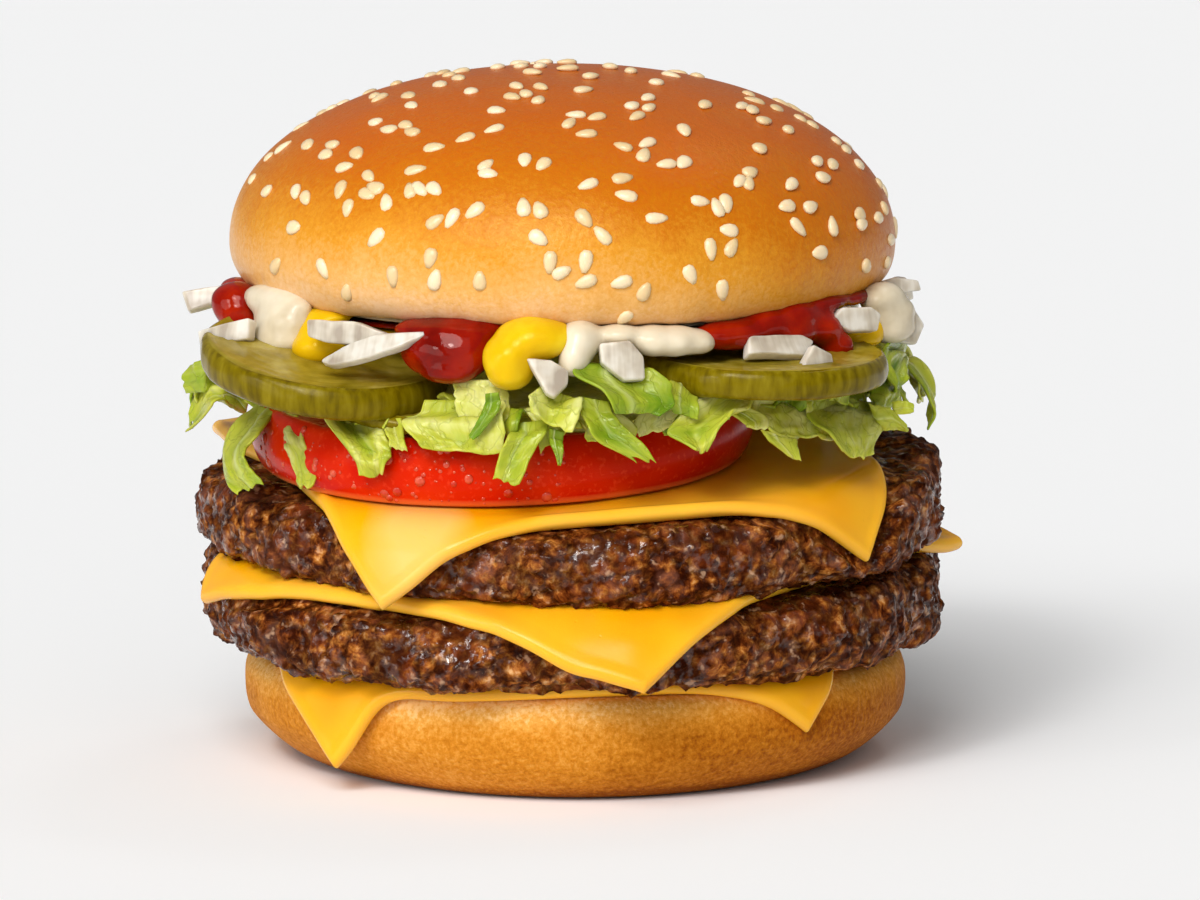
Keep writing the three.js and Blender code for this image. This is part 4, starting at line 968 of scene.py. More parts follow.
def add(tree, kind, settings=None, inputs=None, out=0):
    """Adds a node, sets its properties, sets or links its inputs, and gives back one of its outputs."""
    made = tree.nodes.new("ShaderNode" + kind)
    for name, value in (settings or {}).items():
        if name == "stops":
            while len(made.color_ramp.elements) < len(value):
                made.color_ramp.elements.new(1)
            for element, (place, tint) in zip(made.color_ramp.elements, value):
                element.position, element.color = place, (*tint, 1)
        else:
            setattr(made, name, value)
    for name, value in (inputs or {}).items():
        if isinstance(value, bpy.types.NodeSocket):
            tree.links.new(value, made.inputs[name])
        else:
            made.inputs[name].default_value = (*value, 1) if made.inputs[name].type == "RGBA" else value
    return made.outputs[out]


FACTOR, FIRST, SECOND, RESULT = 0, 6, 7, 2  # sockets of a Mix node that mixes colours
COLOURS = {"data_type": "RGBA"}


def start_material(name):
    """A new material and its empty node tree."""
    made = bpy.data.materials.new(name)
    made.use_nodes = True
    made.node_tree.nodes.clear()
    return made, made.node_tree


def close_material(tree, shader):
    """Links a shader to the material's output."""
    output = tree.nodes.new("ShaderNodeOutputMaterial")
    tree.links.new(shader, output.inputs["Surface"])


def crust_material(name, tints, crumb_tint, grain, grain_depth, gloss, shine):
    """Wheat dough, egg-washed and baked: satin, with a fine grain of light and dark from the blistered skin. Where it
    was cut it is pale open crumb."""
    made, tree = start_material(name)
    where = add(tree, "TexCoord", out="Object")
    bake = add(tree, "Attribute", {"attribute_name": "bake"}, out="Fac")
    crumb = add(tree, "Attribute", {"attribute_name": "crumb"}, out="Fac")
    patches = add(tree, "TexNoise", inputs={"Vector": where, "Scale": per(7), "Detail": 3.0})
    speckle = add(tree, "TexNoise", inputs={"Vector": where, "Scale": per(0.8), "Detail": 3.0, "Roughness": 0.7})
    mottled = add(tree, "Math", {"operation": "MULTIPLY_ADD"}, {0: patches, 1: 0.22, 2: bake})
    grained = add(tree, "Math", {"operation": "MULTIPLY_ADD"}, {0: speckle, 1: grain, 2: mottled})
    level = add(tree, "Math", {"operation": "SUBTRACT"}, {0: grained, 1: 0.11 + grain / 2})
    base = add(tree, "ValToRGB", {"stops": tints}, {"Fac": level})
    open_crumb = add(tree, "Mix", COLOURS, {FACTOR: speckle, FIRST: crumb_tint, SECOND: linear("FFF3D8")}, RESULT)
    tint = add(tree, "Mix", COLOURS, {FACTOR: crumb, FIRST: base, SECOND: open_crumb}, RESULT)
    fine = add(tree, "Bump", inputs={"Strength": 0.9, "Distance": grain_depth * MM, "Height": speckle})
    soft = add(tree, "Bump", inputs={"Strength": 0.35, "Distance": 0.6 * MM, "Height": patches, "Normal": fine})
    roughness = add(tree, "MapRange", inputs={
        "Value": speckle, "From Min": 0.3, "From Max": 0.7, "To Min": gloss - 0.07, "To Max": gloss + 0.1,
    })
    close_material(tree, add(tree, "BsdfPrincipled", inputs={
        "Base Color": tint, "Roughness": roughness, "Normal": soft, "IOR": 1.45, "Specular IOR Level": shine,
        "Specular Tint": linear("FFDCB0"),
        "Subsurface Weight": 0.08, "Subsurface Radius": (1.0, 0.5, 0.2), "Subsurface Scale": 1.2 * MM,
    }))
    return made


def seed_material(colours):
    """Hulled sesame, oily and toasted a little: ivory, waxy, a touch darker at its point."""
    made, tree = start_material("toasted_sesame")
    tone = add(tree, "Attribute", {"attribute_name": "tone"}, out="Fac")
    tip = add(tree, "Attribute", {"attribute_name": "tip"}, out="Fac")
    base = add(tree, "ValToRGB", {"stops": [
        (0, linear("DDBE8A")), (0.5, tuple(colours.sesame)), (1, linear("EED8B2")),
    ]}, {"Fac": tone})
    toasted = add(tree, "MapRange", inputs={
        "Value": tip, "From Min": 0.4, "From Max": 1.1, "To Min": 0.0, "To Max": 0.4,
    })
    tint = add(tree, "Mix", COLOURS, {FACTOR: toasted, FIRST: base, SECOND: linear("DDB878")}, RESULT)
    where = add(tree, "TexCoord", out="Object")
    grain = add(tree, "TexNoise", inputs={"Vector": where, "Scale": per(0.5), "Detail": 1.0})
    bump = add(tree, "Bump", inputs={"Strength": 0.25, "Distance": 0.1 * MM, "Height": grain})
    close_material(tree, add(tree, "BsdfPrincipled", inputs={
        "Base Color": tint, "Roughness": 0.36, "Normal": bump, "Coat Weight": 0.2, "Coat Roughness": 0.25,
        "Subsurface Weight": 0.2, "Subsurface Radius": (1.0, 0.7, 0.4), "Subsurface Scale": 0.6 * MM,
    }))
    return made


def beef_material(colours):
    """Ground beef, seared on a griddle: tan and greyish brown where fat and juice cover it, with dark roasted nodules
    on top, seams painted nearly black as shade, pale specks as painted gleams, and wet patches of molten fat whose
    small sharp gleams sit on the lumps."""
    made, tree = start_material("griddled_ground_beef")
    where = add(tree, "TexCoord", out="Object")
    crevice = add(tree, "Attribute", {"attribute_name": "crevice"}, out="Fac")
    sear = add(tree, "Attribute", {"attribute_name": "sear"}, out="Fac")
    bend = add(tree, "TexNoise", inputs={"Vector": where, "Scale": per(4), "Detail": 2.0}, out="Color")
    warped = add(tree, "VectorMath", {"operation": "MULTIPLY_ADD"}, {0: bend, 1: (3 * MM,) * 3, 2: where})
    grain = add(tree, "TexNoise", inputs={"Vector": warped, "Scale": per(1.7), "Detail": 5.0, "Roughness": 0.62})
    patches = add(tree, "TexNoise", inputs={"Vector": where, "Scale": per(11), "Detail": 2.0})
    blotch = add(tree, "TexNoise", inputs={"Vector": warped, "Scale": per(5), "Detail": 3.0, "Roughness": 0.6})
    swell = add(tree, "Attribute", {"attribute_name": "swell"}, out="Fac")
    height = add(tree, "Math", {"operation": "MULTIPLY_ADD"}, {0: swell, 1: -0.05, 2: grain})
    base = add(tree, "ValToRGB", {"stops": [
        (0.38, linear("320C00")), (0.46, tuple(colours.beef)), (0.54, linear("8A4A1A")), (0.62, linear("B87430")),
        (0.72, linear("DCA870")),
    ]}, {"Fac": height})
    grey = add(tree, "MapRange", inputs={
        "Value": blotch, "From Min": 0.5, "From Max": 0.64, "To Min": 0.0, "To Max": 0.35,
    })
    greyed = add(tree, "Mix", COLOURS, {FACTOR: grey, FIRST: base, SECOND: linear("8E5844")}, RESULT)
    red = add(tree, "MapRange", inputs={
        "Value": patches, "From Min": 0.48, "From Max": 0.64, "To Min": 0.0, "To Max": 0.55,
    })
    reddish = add(tree, "Mix", COLOURS, {FACTOR: red, FIRST: greyed, SECOND: linear("682A0C")}, RESULT)
    uneven = add(tree, "MapRange", inputs={
        "Value": blotch, "From Min": 0.36, "From Max": 0.66, "To Min": 1.0, "To Max": 0.7,
    })
    charred = add(tree, "Math", {"operation": "MULTIPLY"}, {0: sear, 1: uneven})
    seared = add(tree, "Mix", COLOURS, {FACTOR: charred, FIRST: reddish, SECOND: linear("230901")}, RESULT)
    # Painted shade: the seams go nearly black.
    seamed = add(tree, "Mix", COLOURS, {FACTOR: crevice, FIRST: seared, SECOND: linear("1A0501")}, RESULT)
    wet = add(tree, "TexNoise", inputs={"Vector": where, "Scale": per(1.6), "Detail": 2.0})
    # Painted highlight: pale specks on the wet noise, standing for gleams of fat.
    melted = add(tree, "MapRange", inputs={
        "Value": wet, "From Min": 0.62, "From Max": 0.72, "To Min": 0.0, "To Max": 0.5,
    })
    specked = add(tree, "Mix", COLOURS, {FACTOR: melted, FIRST: seamed, SECOND: linear("D0A480")}, RESULT)
    puddle = add(tree, "MapRange", inputs={
        "Value": wet, "From Min": 0.46, "From Max": 0.56, "To Min": 0.0, "To Max": 1.0,
    })
    wetter = add(tree, "MapRange", inputs={
        "Value": patches, "From Min": 0.42, "From Max": 0.58, "To Min": 0.12, "To Max": 1.0,
    })
    film_there = add(tree, "Math", {"operation": "MULTIPLY"}, {0: puddle, 1: wetter})
    fine = add(tree, "Bump", inputs={"Strength": 0.8, "Distance": 0.5 * MM, "Height": grain})
    film = add(tree, "Bump", inputs={"Strength": 0.7, "Distance": 0.5 * MM, "Height": wet})
    close_material(tree, add(tree, "BsdfPrincipled", inputs={
        "Base Color": specked, "Roughness": 0.45, "Normal": fine, "IOR": 1.45, "Specular IOR Level": 0.04,
        "Specular Tint": linear("FFDCC0"), "Coat Weight": film_there, "Coat Roughness": 0.08, "Coat Normal": film,
    }))
    return made


def cheese_material(name, colours, film):
    """Processed cheese, cast and sliced: one smooth deep yellow, satin where it has softened, with a few pin holes.
    Pale peach patches, most at its left, are a painted highlight, and so is its paler edge."""
    made, tree = start_material(name)
    where = add(tree, "TexCoord", out="Object")
    patches = add(tree, "TexNoise", inputs={"Vector": where, "Scale": per(14), "Detail": 2.0})
    grain = add(tree, "TexNoise", inputs={"Vector": where, "Scale": per(0.9), "Detail": 2.0})
    rim = add(tree, "Attribute", {"attribute_name": "rim"}, out="Fac")
    base = add(tree, "ValToRGB", {"stops": [
        (0.3, linear("EC9C00")), (0.52, tuple(colours.cheese)), (0.75, linear("F4B000")),
    ]}, {"Fac": patches})
    # Painted highlight: paler along the edges.
    paler = add(tree, "Math", {"operation": "MULTIPLY"}, {0: rim, 1: 0.5})
    # Painted highlight: pale peach patches, as much as the film allows at the left, less towards the right.
    sweat = add(tree, "TexNoise", inputs={"Vector": where, "Scale": per(19), "Detail": 1.0})
    across = add(tree, "SeparateXYZ", inputs={"Vector": where}, out="X")
    hotter = add(tree, "MapRange", inputs={
        "Value": across, "From Min": -8 * MM, "From Max": 6 * MM, "To Min": film, "To Max": 0.15 * film,
    })
    cloudy = add(tree, "MapRange", inputs={
        "Value": sweat, "From Min": 0.36, "From Max": 0.56, "To Min": 0.0, "To Max": hotter,
    })
    clouded = add(tree, "Mix", COLOURS, {FACTOR: cloudy, FIRST: base, SECOND: linear("F4BE66")}, RESULT)
    tint = add(tree, "Mix", COLOURS, {FACTOR: paler, FIRST: clouded, SECOND: linear("FAC044")}, RESULT)
    pits = add(tree, "TexVoronoi", inputs={"Vector": where, "Scale": per(2.6)}, out="Distance")
    holes = add(tree, "MapRange", inputs={"Value": pits, "From Min": 0.03, "From Max": 0.1})
    fine = add(tree, "Bump", inputs={"Strength": 0.12, "Distance": 0.1 * MM, "Height": grain})
    pin = add(tree, "Bump", inputs={"Strength": 0.2, "Distance": 0.15 * MM, "Height": holes, "Normal": fine})
    close_material(tree, add(tree, "BsdfPrincipled", inputs={
        "Base Color": tint, "Roughness": 0.24, "Normal": pin, "IOR": 1.45, "Specular IOR Level": 0.3,
        "Specular Tint": linear("FFEEE0"),
        "Subsurface Weight": 0.25, "Subsurface Radius": (1.0, 0.55, 0.1), "Subsurface Scale": 2.0 * MM,
    }))
    return made


def tomato_material(colours):
    """Ripe tomato: a taut glossy red skin over wet flesh, paler and orange where light gets into it near a cut."""
    made, tree = start_material("ripe_tomato")
    where = add(tree, "TexCoord", out="Object")
    skin = add(tree, "Attribute", {"attribute_name": "skin"}, out="Fac")
    up = add(tree, "Attribute", {"attribute_name": "up"}, out="Fac")
    patches = add(tree, "TexNoise", inputs={"Vector": where, "Scale": per(10), "Detail": 2.0})
    specks = add(tree, "TexNoise", inputs={"Vector": where, "Scale": per(0.8), "Detail": 2.0})
    base = add(tree, "ValToRGB", {"stops": [
        (0.3, linear("C41400")), (0.55, tuple(colours.tomato)), (0.75, linear("E44C06")),
    ]}, {"Fac": patches})
    across = add(tree, "SeparateXYZ", inputs={"Vector": where}, out="X")
    # Painted shade: the skin turns a darker red towards the right.
    ripe = add(tree, "MapRange", inputs={
        "Value": across, "From Min": -12 * MM, "From Max": 30 * MM, "To Min": 0.0, "To Max": 0.7,
    })
    riper = add(tree, "Mix", COLOURS, {FACTOR: ripe, FIRST: base, SECOND: linear("A00800")}, RESULT)
    pores = add(tree, "MapRange", inputs={
        "Value": specks, "From Min": 0.56, "From Max": 0.7, "To Min": 0.0, "To Max": 0.26,
    })
    pored = add(tree, "Mix", COLOURS, {FACTOR: pores, FIRST: riper, SECOND: linear("E8502C")}, RESULT)
    near_cut = add(tree, "MapRange", inputs={
        "Value": up, "From Min": 0.12, "From Max": 0.02, "To Min": 0.0, "To Max": 0.75,
    })
    edged = add(tree, "Mix", COLOURS, {FACTOR: near_cut, FIRST: pored, SECOND: linear("F08A48")}, RESULT)
    flesh = add(tree, "ValToRGB", {"stops": [(0.35, linear("D8401C")), (0.6, linear("F07A4E"))]}, {"Fac": specks})
    tint = add(tree, "Mix", COLOURS, {FACTOR: skin, FIRST: flesh, SECOND: edged}, RESULT)
    bump = add(tree, "Bump", inputs={"Strength": 0.25, "Distance": 0.12 * MM, "Height": specks})
    close_material(tree, add(tree, "BsdfPrincipled", inputs={
        "Base Color": tint, "Roughness": 0.2, "Normal": bump, "IOR": 1.4, "Specular IOR Level": 0.2,
        "Specular Tint": linear("FFB090"),
        "Subsurface Weight": 0.12, "Subsurface Radius": (1.0, 0.2, 0.05), "Subsurface Scale": 1.5 * MM,
    }))
    return made


def water_material():
    """Clear water, beaded on a waxy skin: it takes the skin's red, a little lighter, and shows by its sharp glint."""
    made, tree = start_material("beaded_water")
    where = add(tree, "TexCoord", out="Object")
    ripple = add(tree, "TexNoise", inputs={"Vector": where, "Scale": per(1.5)})
    tint = add(tree, "ValToRGB", {"stops": [(0.35, linear("D42E10")), (0.65, linear("F06440"))]}, {"Fac": ripple})
    bump = add(tree, "Bump", inputs={"Strength": 0.05, "Distance": 0.05 * MM, "Height": ripple})
    close_material(tree, add(tree, "BsdfPrincipled", inputs={
        "Base Color": tint, "Roughness": 0.05, "IOR": 1.33, "Transmission Weight": 0.3, "Specular IOR Level": 1.0,
        "Normal": bump,
    }))
    return made


def lettuce_material(colours):
    """Iceberg lettuce, shredded and wet: thin leaf that lets light through, yellowish at the heart, green at the
    margins, with paler ribs and a faint net of veins."""
    made, tree = start_material("shredded_iceberg_lettuce")
    place = add(tree, "Attribute", {"attribute_name": "place"}, out="Vector")
    tone = add(tree, "Attribute", {"attribute_name": "tone"}, out="Fac")
    rib = add(tree, "Attribute", {"attribute_name": "rib"}, out="Fac")
    bend = add(tree, "TexNoise", inputs={"Vector": place, "Scale": 0.5, "Detail": 1.0}, out="Color")
    warped = add(tree, "VectorMath", {"operation": "MULTIPLY_ADD"}, {0: bend, 1: (2.5, 2.5, 2.5), 2: place})
    stretched = add(tree, "Mapping", inputs={"Vector": warped, "Scale": (0.18, 0.42, 0.5)})
    net = add(
        tree, "TexVoronoi", {"feature": "DISTANCE_TO_EDGE"}, {"Vector": stretched, "Scale": 1.0}, out="Distance"
    )
    veins = add(tree, "MapRange", inputs={
        "Value": net, "From Min": 0.01, "From Max": 0.06, "To Min": 1.0, "To Max": 0.0,
    })
    streaked = add(tree, "Mapping", inputs={"Vector": place, "Scale": (0.12, 1.1, 0.5)})
    streaks = add(tree, "TexNoise", inputs={"Vector": streaked, "Scale": 1.0, "Detail": 3.0})
    patches = add(tree, "TexNoise", inputs={"Vector": place, "Scale": 0.3, "Detail": 3.0})
    level = add(tree, "Math", {"operation": "MULTIPLY_ADD"}, {0: patches, 1: 0.7, 2: tone})
    level = add(tree, "Math", {"operation": "MULTIPLY_ADD"}, {0: streaks, 1: 0.35, 2: level})
    shifted = add(tree, "Math", {"operation": "SUBTRACT"}, {0: level, 1: 0.52})
    base = add(tree, "ValToRGB", {"stops": [
        (0.0, linear("D2D284")), (0.3, tuple(colours.lettuce)), (0.6, linear("9CA82A")), (1.0, linear("64860E")),
    ]}, {"Fac": shifted})
    pale = add(tree, "Math", {"operation": "MULTIPLY"}, {0: rib, 1: 0.6})
    ribbed = add(tree, "Mix", COLOURS, {FACTOR: pale, FIRST: base, SECOND: linear("D8DCA8")}, RESULT)
    faint = add(tree, "Math", {"operation": "MULTIPLY"}, {0: veins, 1: 0.22})
    tint = add(tree, "Mix", COLOURS, {FACTOR: faint, FIRST: ribbed, SECOND: linear("747A1C")}, RESULT)
    bump = add(tree, "Bump", {"invert": True}, {"Strength": 0.35, "Distance": 0.25 * MM, "Height": veins})
    cells = add(tree, "Bump", inputs={"Strength": 0.35, "Distance": 0.3 * MM, "Height": streaks, "Normal": bump})
    close_material(tree, add(tree, "BsdfPrincipled", inputs={
        "Base Color": tint, "Roughness": 0.26, "Normal": cells, "IOR": 1.4, "Specular IOR Level": 0.5,
        "Specular Tint": linear("F6F8D8"),
        "Subsurface Weight": 0.5, "Subsurface Radius": (0.8, 1.0, 0.2), "Subsurface Scale": 1.4 * MM,
    }))
    return made


def pickle_material(colours):
    """Dill pickle, brined and sliced: olive flesh that light gets into, seeds and paler streaks in it, a darker warty
    skin, and brine over all of it."""
    made, tree = start_material("brined_dill_pickle")
    where = add(tree, "TexCoord", out="Object")
    skin = add(tree, "Attribute", {"attribute_name": "skin"}, out="Fac")
    outwards = add(tree, "Attribute", {"attribute_name": "out"}, out="Fac")
    upright = add(tree, "Mapping", inputs={"Vector": where, "Scale": (1.0, 1.0, 0.22)})
    streaks = add(tree, "TexNoise", inputs={"Vector": upright, "Scale": per(1.3), "Detail": 3.0})
    patches = add(tree, "TexNoise", inputs={"Vector": where, "Scale": per(5), "Detail": 3.0})
    peel = add(tree, "ValToRGB", {"stops": [
        (0.32, linear("5E4E02")), (0.5, tuple(colours.pickle)), (0.72, linear("867510")),
    ]}, {"Fac": streaks})
    flesh = add(tree, "ValToRGB", {"stops": [
        (0.3, linear("7C6A10")), (0.55, linear("9C8828")), (0.75, linear("B8A650")),
    ]}, {"Fac": patches})
    ringed = add(tree, "MapRange", inputs={
        "Value": outwards, "From Min": 0.9, "From Max": 0.985, "To Min": 0.0, "To Max": 0.7,
    })
    cut = add(tree, "Mix", COLOURS, {FACTOR: ringed, FIRST: flesh, SECOND: linear("6E6410")}, RESULT)
    tint = add(tree, "Mix", COLOURS, {FACTOR: skin, FIRST: cut, SECOND: peel}, RESULT)
    bump = add(tree, "Bump", inputs={"Strength": 0.2, "Distance": 0.2 * MM, "Height": streaks})
    close_material(tree, add(tree, "BsdfPrincipled", inputs={
        "Base Color": tint, "Roughness": 0.2, "Normal": bump, "IOR": 1.4, "Specular IOR Level": 0.25,
        "Specular Tint": linear("F4ECC0"),
        "Subsurface Weight": 0.3, "Subsurface Radius": (1.0, 0.8, 0.2), "Subsurface Scale": 1.5 * MM,
    }))
    return made


def onion_material(colours):
    """Raw white onion, diced: wet and translucent, with faint veins along the bulb, and whiter at its cut edges."""
    made, tree = start_material("diced_white_onion")
    place = add(tree, "Attribute", {"attribute_name": "place"}, out="Vector")
    edge = add(tree, "Attribute", {"attribute_name": "edge"}, out="Fac")
    stretched = add(tree, "Mapping", inputs={"Vector": place, "Scale": (1.0, 1.0, 0.12)})
    veins = add(tree, "TexNoise", inputs={"Vector": stretched, "Scale": 0.9, "Detail": 2.0})
    clouds = add(tree, "TexNoise", inputs={"Vector": place, "Scale": 0.25, "Detail": 2.0})
    level = add(tree, "Math", {"operation": "MULTIPLY_ADD"}, {0: veins, 1: 0.5, 2: clouds})
    body = add(tree, "ValToRGB", {"stops": [
        (0.55, linear("A09280")), (0.74, tuple(colours.onion)), (0.92, linear("D8D2C6")),
    ]}, {"Fac": level})
    whiter = add(tree, "Math", {"operation": "MULTIPLY"}, {0: edge, 1: 0.5})
    tint = add(tree, "Mix", COLOURS, {FACTOR: whiter, FIRST: body, SECOND: linear("DED6CA")}, RESULT)
    bump = add(tree, "Bump", inputs={"Strength": 0.12, "Distance": 0.12 * MM, "Height": veins})
    close_material(tree, add(tree, "BsdfPrincipled", inputs={
        "Base Color": tint, "Roughness": 0.22, "Normal": bump, "IOR": 1.38,
        "Subsurface Weight": 0.75, "Subsurface Radius": (1.0, 0.92, 0.78), "Subsurface Scale": 2.4 * MM,
    }))
    return made


def sauce_material(name, dark, middle, light, gloss, roughness, scatter):
    """A thick sauce, squeezed out and settled: wet and smooth, with darker and lighter patches of its one colour."""
    made, tree = start_material(name)
    where = add(tree, "TexCoord", out="Object")
    patches = add(tree, "TexNoise", inputs={"Vector": where, "Scale": per(6), "Detail": 3.0})
    pulp = add(tree, "TexNoise", inputs={"Vector": where, "Scale": per(1.6), "Detail": 2.0})
    tint = add(tree, "ValToRGB", {"stops": [(0.3, dark), (0.52, middle), (0.75, light)]}, {"Fac": patches})
    bump = add(tree, "Bump", inputs={"Strength": 0.2, "Distance": 0.2 * MM, "Height": pulp})
    close_material(tree, add(tree, "BsdfPrincipled", inputs={
        "Base Color": tint, "Roughness": roughness, "Normal": bump, "IOR": 1.42, "Specular IOR Level": 0.32,
        "Specular Tint": gloss,
        "Subsurface Weight": 0.25, "Subsurface Radius": scatter, "Subsurface Scale": 1.5 * MM,
    }))
    return made


# ---- What a user can change -------------------------------------------------------------------------------------


def size_property(name, description, millimetres, most):
    return FloatProperty(
        name=name, description=description, default=millimetres * MM, min=0, max=most * MM, precision=5,
        unit="LENGTH", subtype="DISTANCE",
    )


def colour_property(name, description, code):
    return FloatVectorProperty(
        name=name, description=description, default=linear(code), size=3, min=0, max=1, subtype="COLOR"
    )


class BurgerSizes(PropertyGroup):
    seed_length: size_property("Seed length", "Length of a sesame seed", 3.4, 6)
    seed_width: size_property("Seed width", "Width of a sesame seed", 2.1, 4)
    seed_thick: size_property("Seed thickness", "Thickness of a sesame seed", 1.15, 3)
    seed_count: IntProperty(
        name="Seeds", description="Number of sesame seeds on the crown", default=205, min=141, max=400
    )
    crag_depth: size_property("Crag depth", "Depth of the relief on the patties", 1.0, 2)
    cheese_thick: size_property("Cheese thickness", "Thickness of a slice of cheese", 1.8, 3)
    leaf_thick: size_property("Leaf thickness", "Thickness of a lettuce leaf", 0.5, 2)
    droplet_size: size_property("Droplet size", "Radius of the largest drop of water on the tomato", 0.9, 3)
    droplet_count: IntProperty(
        name="Droplets", description="Number of drops of water on the tomato", default=170, min=1, max=600
    )


class BurgerColours(PropertyGroup):
    crust_deep: colour_property("Crust, most baked", "Colour of the crown's top", "C05C00")
    crust_pale: colour_property("Crust, least baked", "Colour of the bun's cut edges", "ECC292")
    sesame: colour_property("Sesame", "Colour of the seeds", "E6CC9E")
    beef: colour_property("Beef", "Colour of the patties", "5E2A0A")
    cheese: colour_property("Cheese", "Colour of the cheese slices", "F0A600")
    tomato: colour_property("Tomato", "Colour of the tomato's skin", "D22A04")
    lettuce: colour_property("Lettuce", "Colour of the middling leaves", "B8BA3E")
    pickle: colour_property("Pickle", "Colour of the pickles' skin", "736202")
    onion: colour_property("Onion", "Colour of the diced onion", "C0B6A4")
    ketchup: colour_property("Ketchup", "Colour of the ketchup", "880E00")
    mayonnaise: colour_property("Mayonnaise", "Colour of the mayonnaise", "D8CAAE")
    mustard: colour_property("Mustard", "Colour of the mustard", "DEB40C")


# ---- Steps ------------------------------------------------------------------------------------------------------


class BURGER_OT_stage(Operator):
    """Make the floor, the lights and the camera"""

    bl_idname = "burger.stage"
    bl_label = "Stage"

    def execute(self, context):
        scene = context.scene
        corners = [(x * FLOOR_HALF, y * FLOOR_HALF, -FLOOR_DROP) for x, y in ((-1, -1), (1, -1), (1, 1), (-1, 1))]
        mesh = bpy.data.meshes.new("floor")
        mesh.from_pydata(corners, [], [(0, 1, 2, 3)])
        made, tree = start_material("pale_matt_floor")
        close_material(tree, add(tree, "BsdfPrincipled", inputs={
            "Base Color": (0.95, 0.95, 0.95), "Roughness": 0.9, "Specular IOR Level": 0.1,
        }))
        mesh.materials.append(made)
        floor = bpy.data.objects.new("floor", mesh)
        scene.collection.objects.link(floor)
        world = bpy.data.worlds.new("studio")
        world.use_nodes = True
        background = world.node_tree.nodes["Background"].inputs
        background["Color"].default_value = (1, 1, 1, 1)
        background["Strength"].default_value = ROOM_LIGHT
        scene.world = world
        for name, (energy, size, lift, turn) in LIGHTS.items():
            lamp = bpy.data.lights.new(name, "SUN")
            lamp.energy, lamp.angle = energy, math.radians(size)
            light = bpy.data.objects.new(name, lamp)
            light.rotation_euler = (math.radians(90 - lift), 0, math.radians(turn))
            scene.collection.objects.link(light)
        lens = bpy.data.cameras.new("camera")
        lens.sensor_width, lens.lens = CAMERA_SENSOR, CAMERA_LENS
        lens.clip_start, lens.clip_end = CAMERA_NEAR, CAMERA_FAR
        camera = bpy.data.objects.new("camera", lens)
        camera.location = CAMERA_PLACE
        camera.rotation_euler = (math.pi / 2 - math.atan2(CAMERA_PLACE[2] - CAMERA_AIM, -CAMERA_PLACE[1]), 0, 0)
        scene.collection.objects.link(camera)
        scene.camera = camera
        scene.view_settings.view_transform = "Standard"
        return {"FINISHED"}


def cheese_covers(*names):
    """The middles of the named slices, as rough grids, for what lies under them."""
    return [cheese_surface(CHEESES[name], *cheese_grid(CHEESES[name], 76)) for name in names]


class BURGER_OT_crown(Operator):
    """Make the top bun's crust and its cut face"""

    bl_idname = "burger.crown"
    bl_label = "Bun crown"

    def execute(self, context):
        colours = context.scene.burger_colours
        tints = [
            (0.0, tuple(colours.crust_pale)), (0.24, linear("E2AA60")), (0.52, linear("D48E22")),
            (0.78, linear("C26C06")), (1.0, tuple(colours.crust_deep)),
        ]
        cut = tuple(colours.crust_pale)
        crust = crust_material("egg_washed_crust", tints, cut, grain=0.5, grain_depth=0.12, gloss=0.33, shine=0.34)
        make_piece("crown_crust", crown_parts(), crust, ["bun_crown"])
        return {"FINISHED"}


class BURGER_OT_seeds(Operator):
    """Make the sesame seeds on the top bun"""

    bl_idname = "burger.seeds"
    bl_label = "Sesame seeds"

    def execute(self, context):
        seeds = seed_parts(context.scene.burger_sizes)
        make_piece("sesame_seeds", seeds, seed_material(context.scene.burger_colours), ["bun_crown"])
        return {"FINISHED"}


class BURGER_OT_heel(Operator):
    """Make the bottom bun"""

    bl_idname = "burger.heel"
    bl_label = "Bun heel"

    def execute(self, context):
        colours = context.scene.burger_colours
        tints = [
            (0.0, linear("F0C07A")), (0.22, linear("E3A248")), (0.5, linear("CE8424")), (0.8, linear("B0660E")),
            (1.0, linear("904A0A")),
        ]
        cut = tuple(colours.crust_pale)
        crust = crust_material("soft_bun_side", tints, cut, grain=1.1, grain_depth=0.3, gloss=0.6, shine=0.1)
        make_piece("heel_crust", heel_parts(cheese_covers("cheese_lower")), crust, ["bun_heel"])
        return {"FINISHED"}


class BURGER_OT_patties(Operator):
    """Make the two beef patties"""

    bl_idname = "burger.patties"
    bl_label = "Beef patties"

    def execute(self, context):
        scene = context.scene
        beef = beef_material(scene.burger_colours)
        depth = scene.burger_sizes.crag_depth / MM
        for name, patty in PATTIES.items():
            parts = patty_parts(patty, depth, cheese_covers(patty["cheese"]))
            make_piece(name.replace("patty_", "beef_"), parts, beef, [name])
        return {"FINISHED"}


class BURGER_OT_cheese(Operator):
    """Make the three slices of cheese"""

    bl_idname = "burger.cheese"
    bl_label = "Cheese slices"

    def execute(self, context):
        scene = context.scene
        for name, cheese in CHEESES.items():
            parts = cheese_parts(cheese, scene.burger_sizes.cheese_thick / MM)
            look = name.replace("cheese_", "softened_cheese_")
            softened = cheese_material(look, scene.burger_colours, cheese["film"])
            make_piece(name.replace("cheese_", "cheese_slice_"), parts, softened, [name])
        return {"FINISHED"}


class BURGER_OT_tomato(Operator):
    """Make the slice of tomato and the water on it"""

    bl_idname = "burger.tomato"
    bl_label = "Tomato"

    def execute(self, context):
        scene = context.scene
        make_piece("tomato", tomato_parts(), tomato_material(scene.burger_colours), ["tomato_slice"])
        make_piece("tomato_water", droplet_parts(scene.burger_sizes), water_material())
        return {"FINISHED"}


class BURGER_OT_lettuce(Operator):
    """Make the heap of shredded lettuce"""

    bl_idname = "burger.lettuce"
    bl_label = "Lettuce"

    def execute(self, context):
        scene = context.scene
        parts = lettuce_parts(scene.burger_sizes.leaf_thick / MM)
        make_piece("lettuce_shreds", parts, lettuce_material(scene.burger_colours), ["lettuce"])
        return {"FINISHED"}


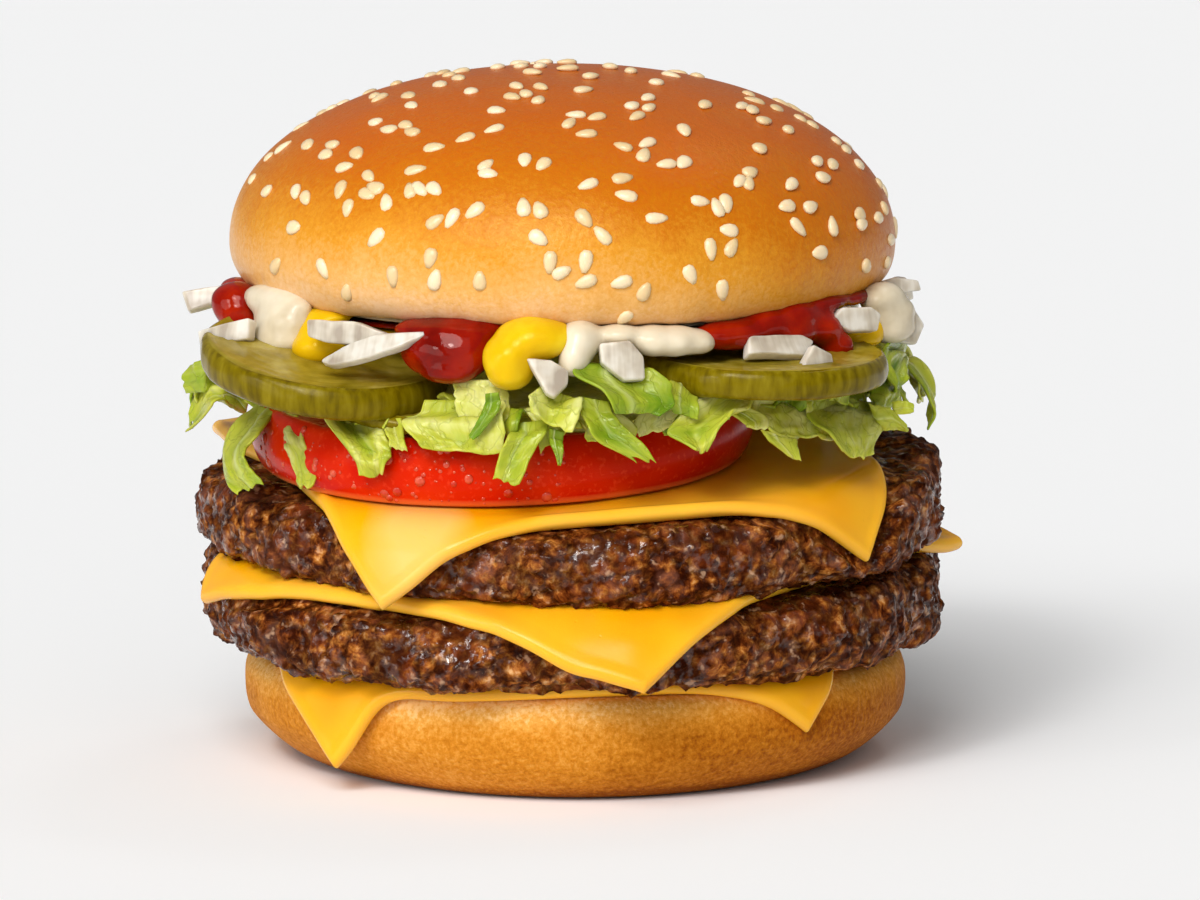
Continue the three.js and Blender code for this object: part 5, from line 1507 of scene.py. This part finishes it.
class BURGER_OT_pickles(Operator):
    """Make the slices of pickle"""

    bl_idname = "burger.pickles"
    bl_label = "Pickles"

    def execute(self, context):
        brined = pickle_material(context.scene.burger_colours)
        for phase, (name, pickle) in enumerate(PICKLES.items()):
            piece = name.replace("pickle_", "pickle_slice_")
            make_piece(piece, pickle_parts(pickle, phase), brined, [name])
        return {"FINISHED"}


class BURGER_OT_onions(Operator):
    """Make the diced onion"""

    bl_idname = "burger.onions"
    bl_label = "Onion"

    def execute(self, context):
        parts = [onion_part(*onion, seed=500 + i) for i, onion in enumerate(ONIONS)]
        names = [f"onion_{i + 1:02d}" for i in range(len(ONIONS))]
        make_piece("onion_dice", parts, onion_material(context.scene.burger_colours), names)
        return {"FINISHED"}


class BURGER_OT_sauces(Operator):
    """Make the ketchup, the mayonnaise and the mustard"""

    bl_idname = "burger.sauces"
    bl_label = "Sauces"

    def execute(self, context):
        colours = context.scene.burger_colours
        looks = {
            "ketchup": dict(
                dark=linear("640500"), middle=tuple(colours.ketchup), light=linear("A42000"),
                gloss=linear("FFE4DC"), roughness=0.06, scatter=(1.0, 0.15, 0.05),
            ),
            "mayonnaise": dict(
                dark=linear("C4B496"), middle=tuple(colours.mayonnaise), light=linear("E2D6BE"),
                gloss=linear("FFFFFF"), roughness=0.2, scatter=(1.0, 0.9, 0.7),
            ),
            "mustard": dict(
                dark=linear("D9AA08"), middle=tuple(colours.mustard), light=linear("ECCA22"),
                gloss=linear("FFF0A0"), roughness=0.2, scatter=(1.0, 0.8, 0.1),
            ),
        }
        # The spread and its dollops become one skin, which is then smoothed, so that they run into each other.
        melt = [
            ("REMESH", {"mode": "VOXEL", "voxel_size": 0.55 * MM, "use_smooth_shade": True}),
            ("SMOOTH", {"factor": 0.6, "iterations": 12}),
        ]
        for name, (height, dollops) in SAUCES.items():
            material = sauce_material("squeezed_" + name, **looks[name])
            make_piece(name + "_sauce", sauce_parts(height, dollops), material, [name], melt)
        return {"FINISHED"}


STEPS = (
    BURGER_OT_stage, BURGER_OT_heel, BURGER_OT_patties, BURGER_OT_cheese, BURGER_OT_tomato, BURGER_OT_lettuce,
    BURGER_OT_pickles, BURGER_OT_onions, BURGER_OT_sauces, BURGER_OT_crown, BURGER_OT_seeds,
)


class BURGER_PT_panel(Panel):
    """Lists the burger's pieces, from the bottom up"""

    bl_idname = "BURGER_PT_panel"
    bl_label = "Double Cheeseburger"
    bl_space_type = "VIEW_3D"
    bl_region_type = "UI"
    bl_category = "Burger"

    def draw(self, context):
        for step in STEPS:
            self.layout.operator(step.bl_idname)
        for group in (context.scene.burger_sizes, context.scene.burger_colours):
            box = self.layout.box()
            for name in group.bl_rna.properties.keys():
                if name not in ("rna_type", "name"):
                    box.prop(group, name)


CLASSES = (BurgerSizes, BurgerColours, *STEPS, BURGER_PT_panel)


def register():
    for one in CLASSES:
        bpy.utils.register_class(one)
    bpy.types.Scene.burger_sizes = PointerProperty(type=BurgerSizes)
    bpy.types.Scene.burger_colours = PointerProperty(type=BurgerColours)


def unregister():
    del bpy.types.Scene.burger_colours
    del bpy.types.Scene.burger_sizes
    for one in reversed(CLASSES):
        bpy.utils.unregister_class(one)


def main():
    """Makes the whole burger, from the stage to the seeds."""
    register()
    for step in STEPS:
        group, name = step.bl_idname.split(".")
        getattr(getattr(bpy.ops, group), name)()


if __name__ == "__main__":
    main()
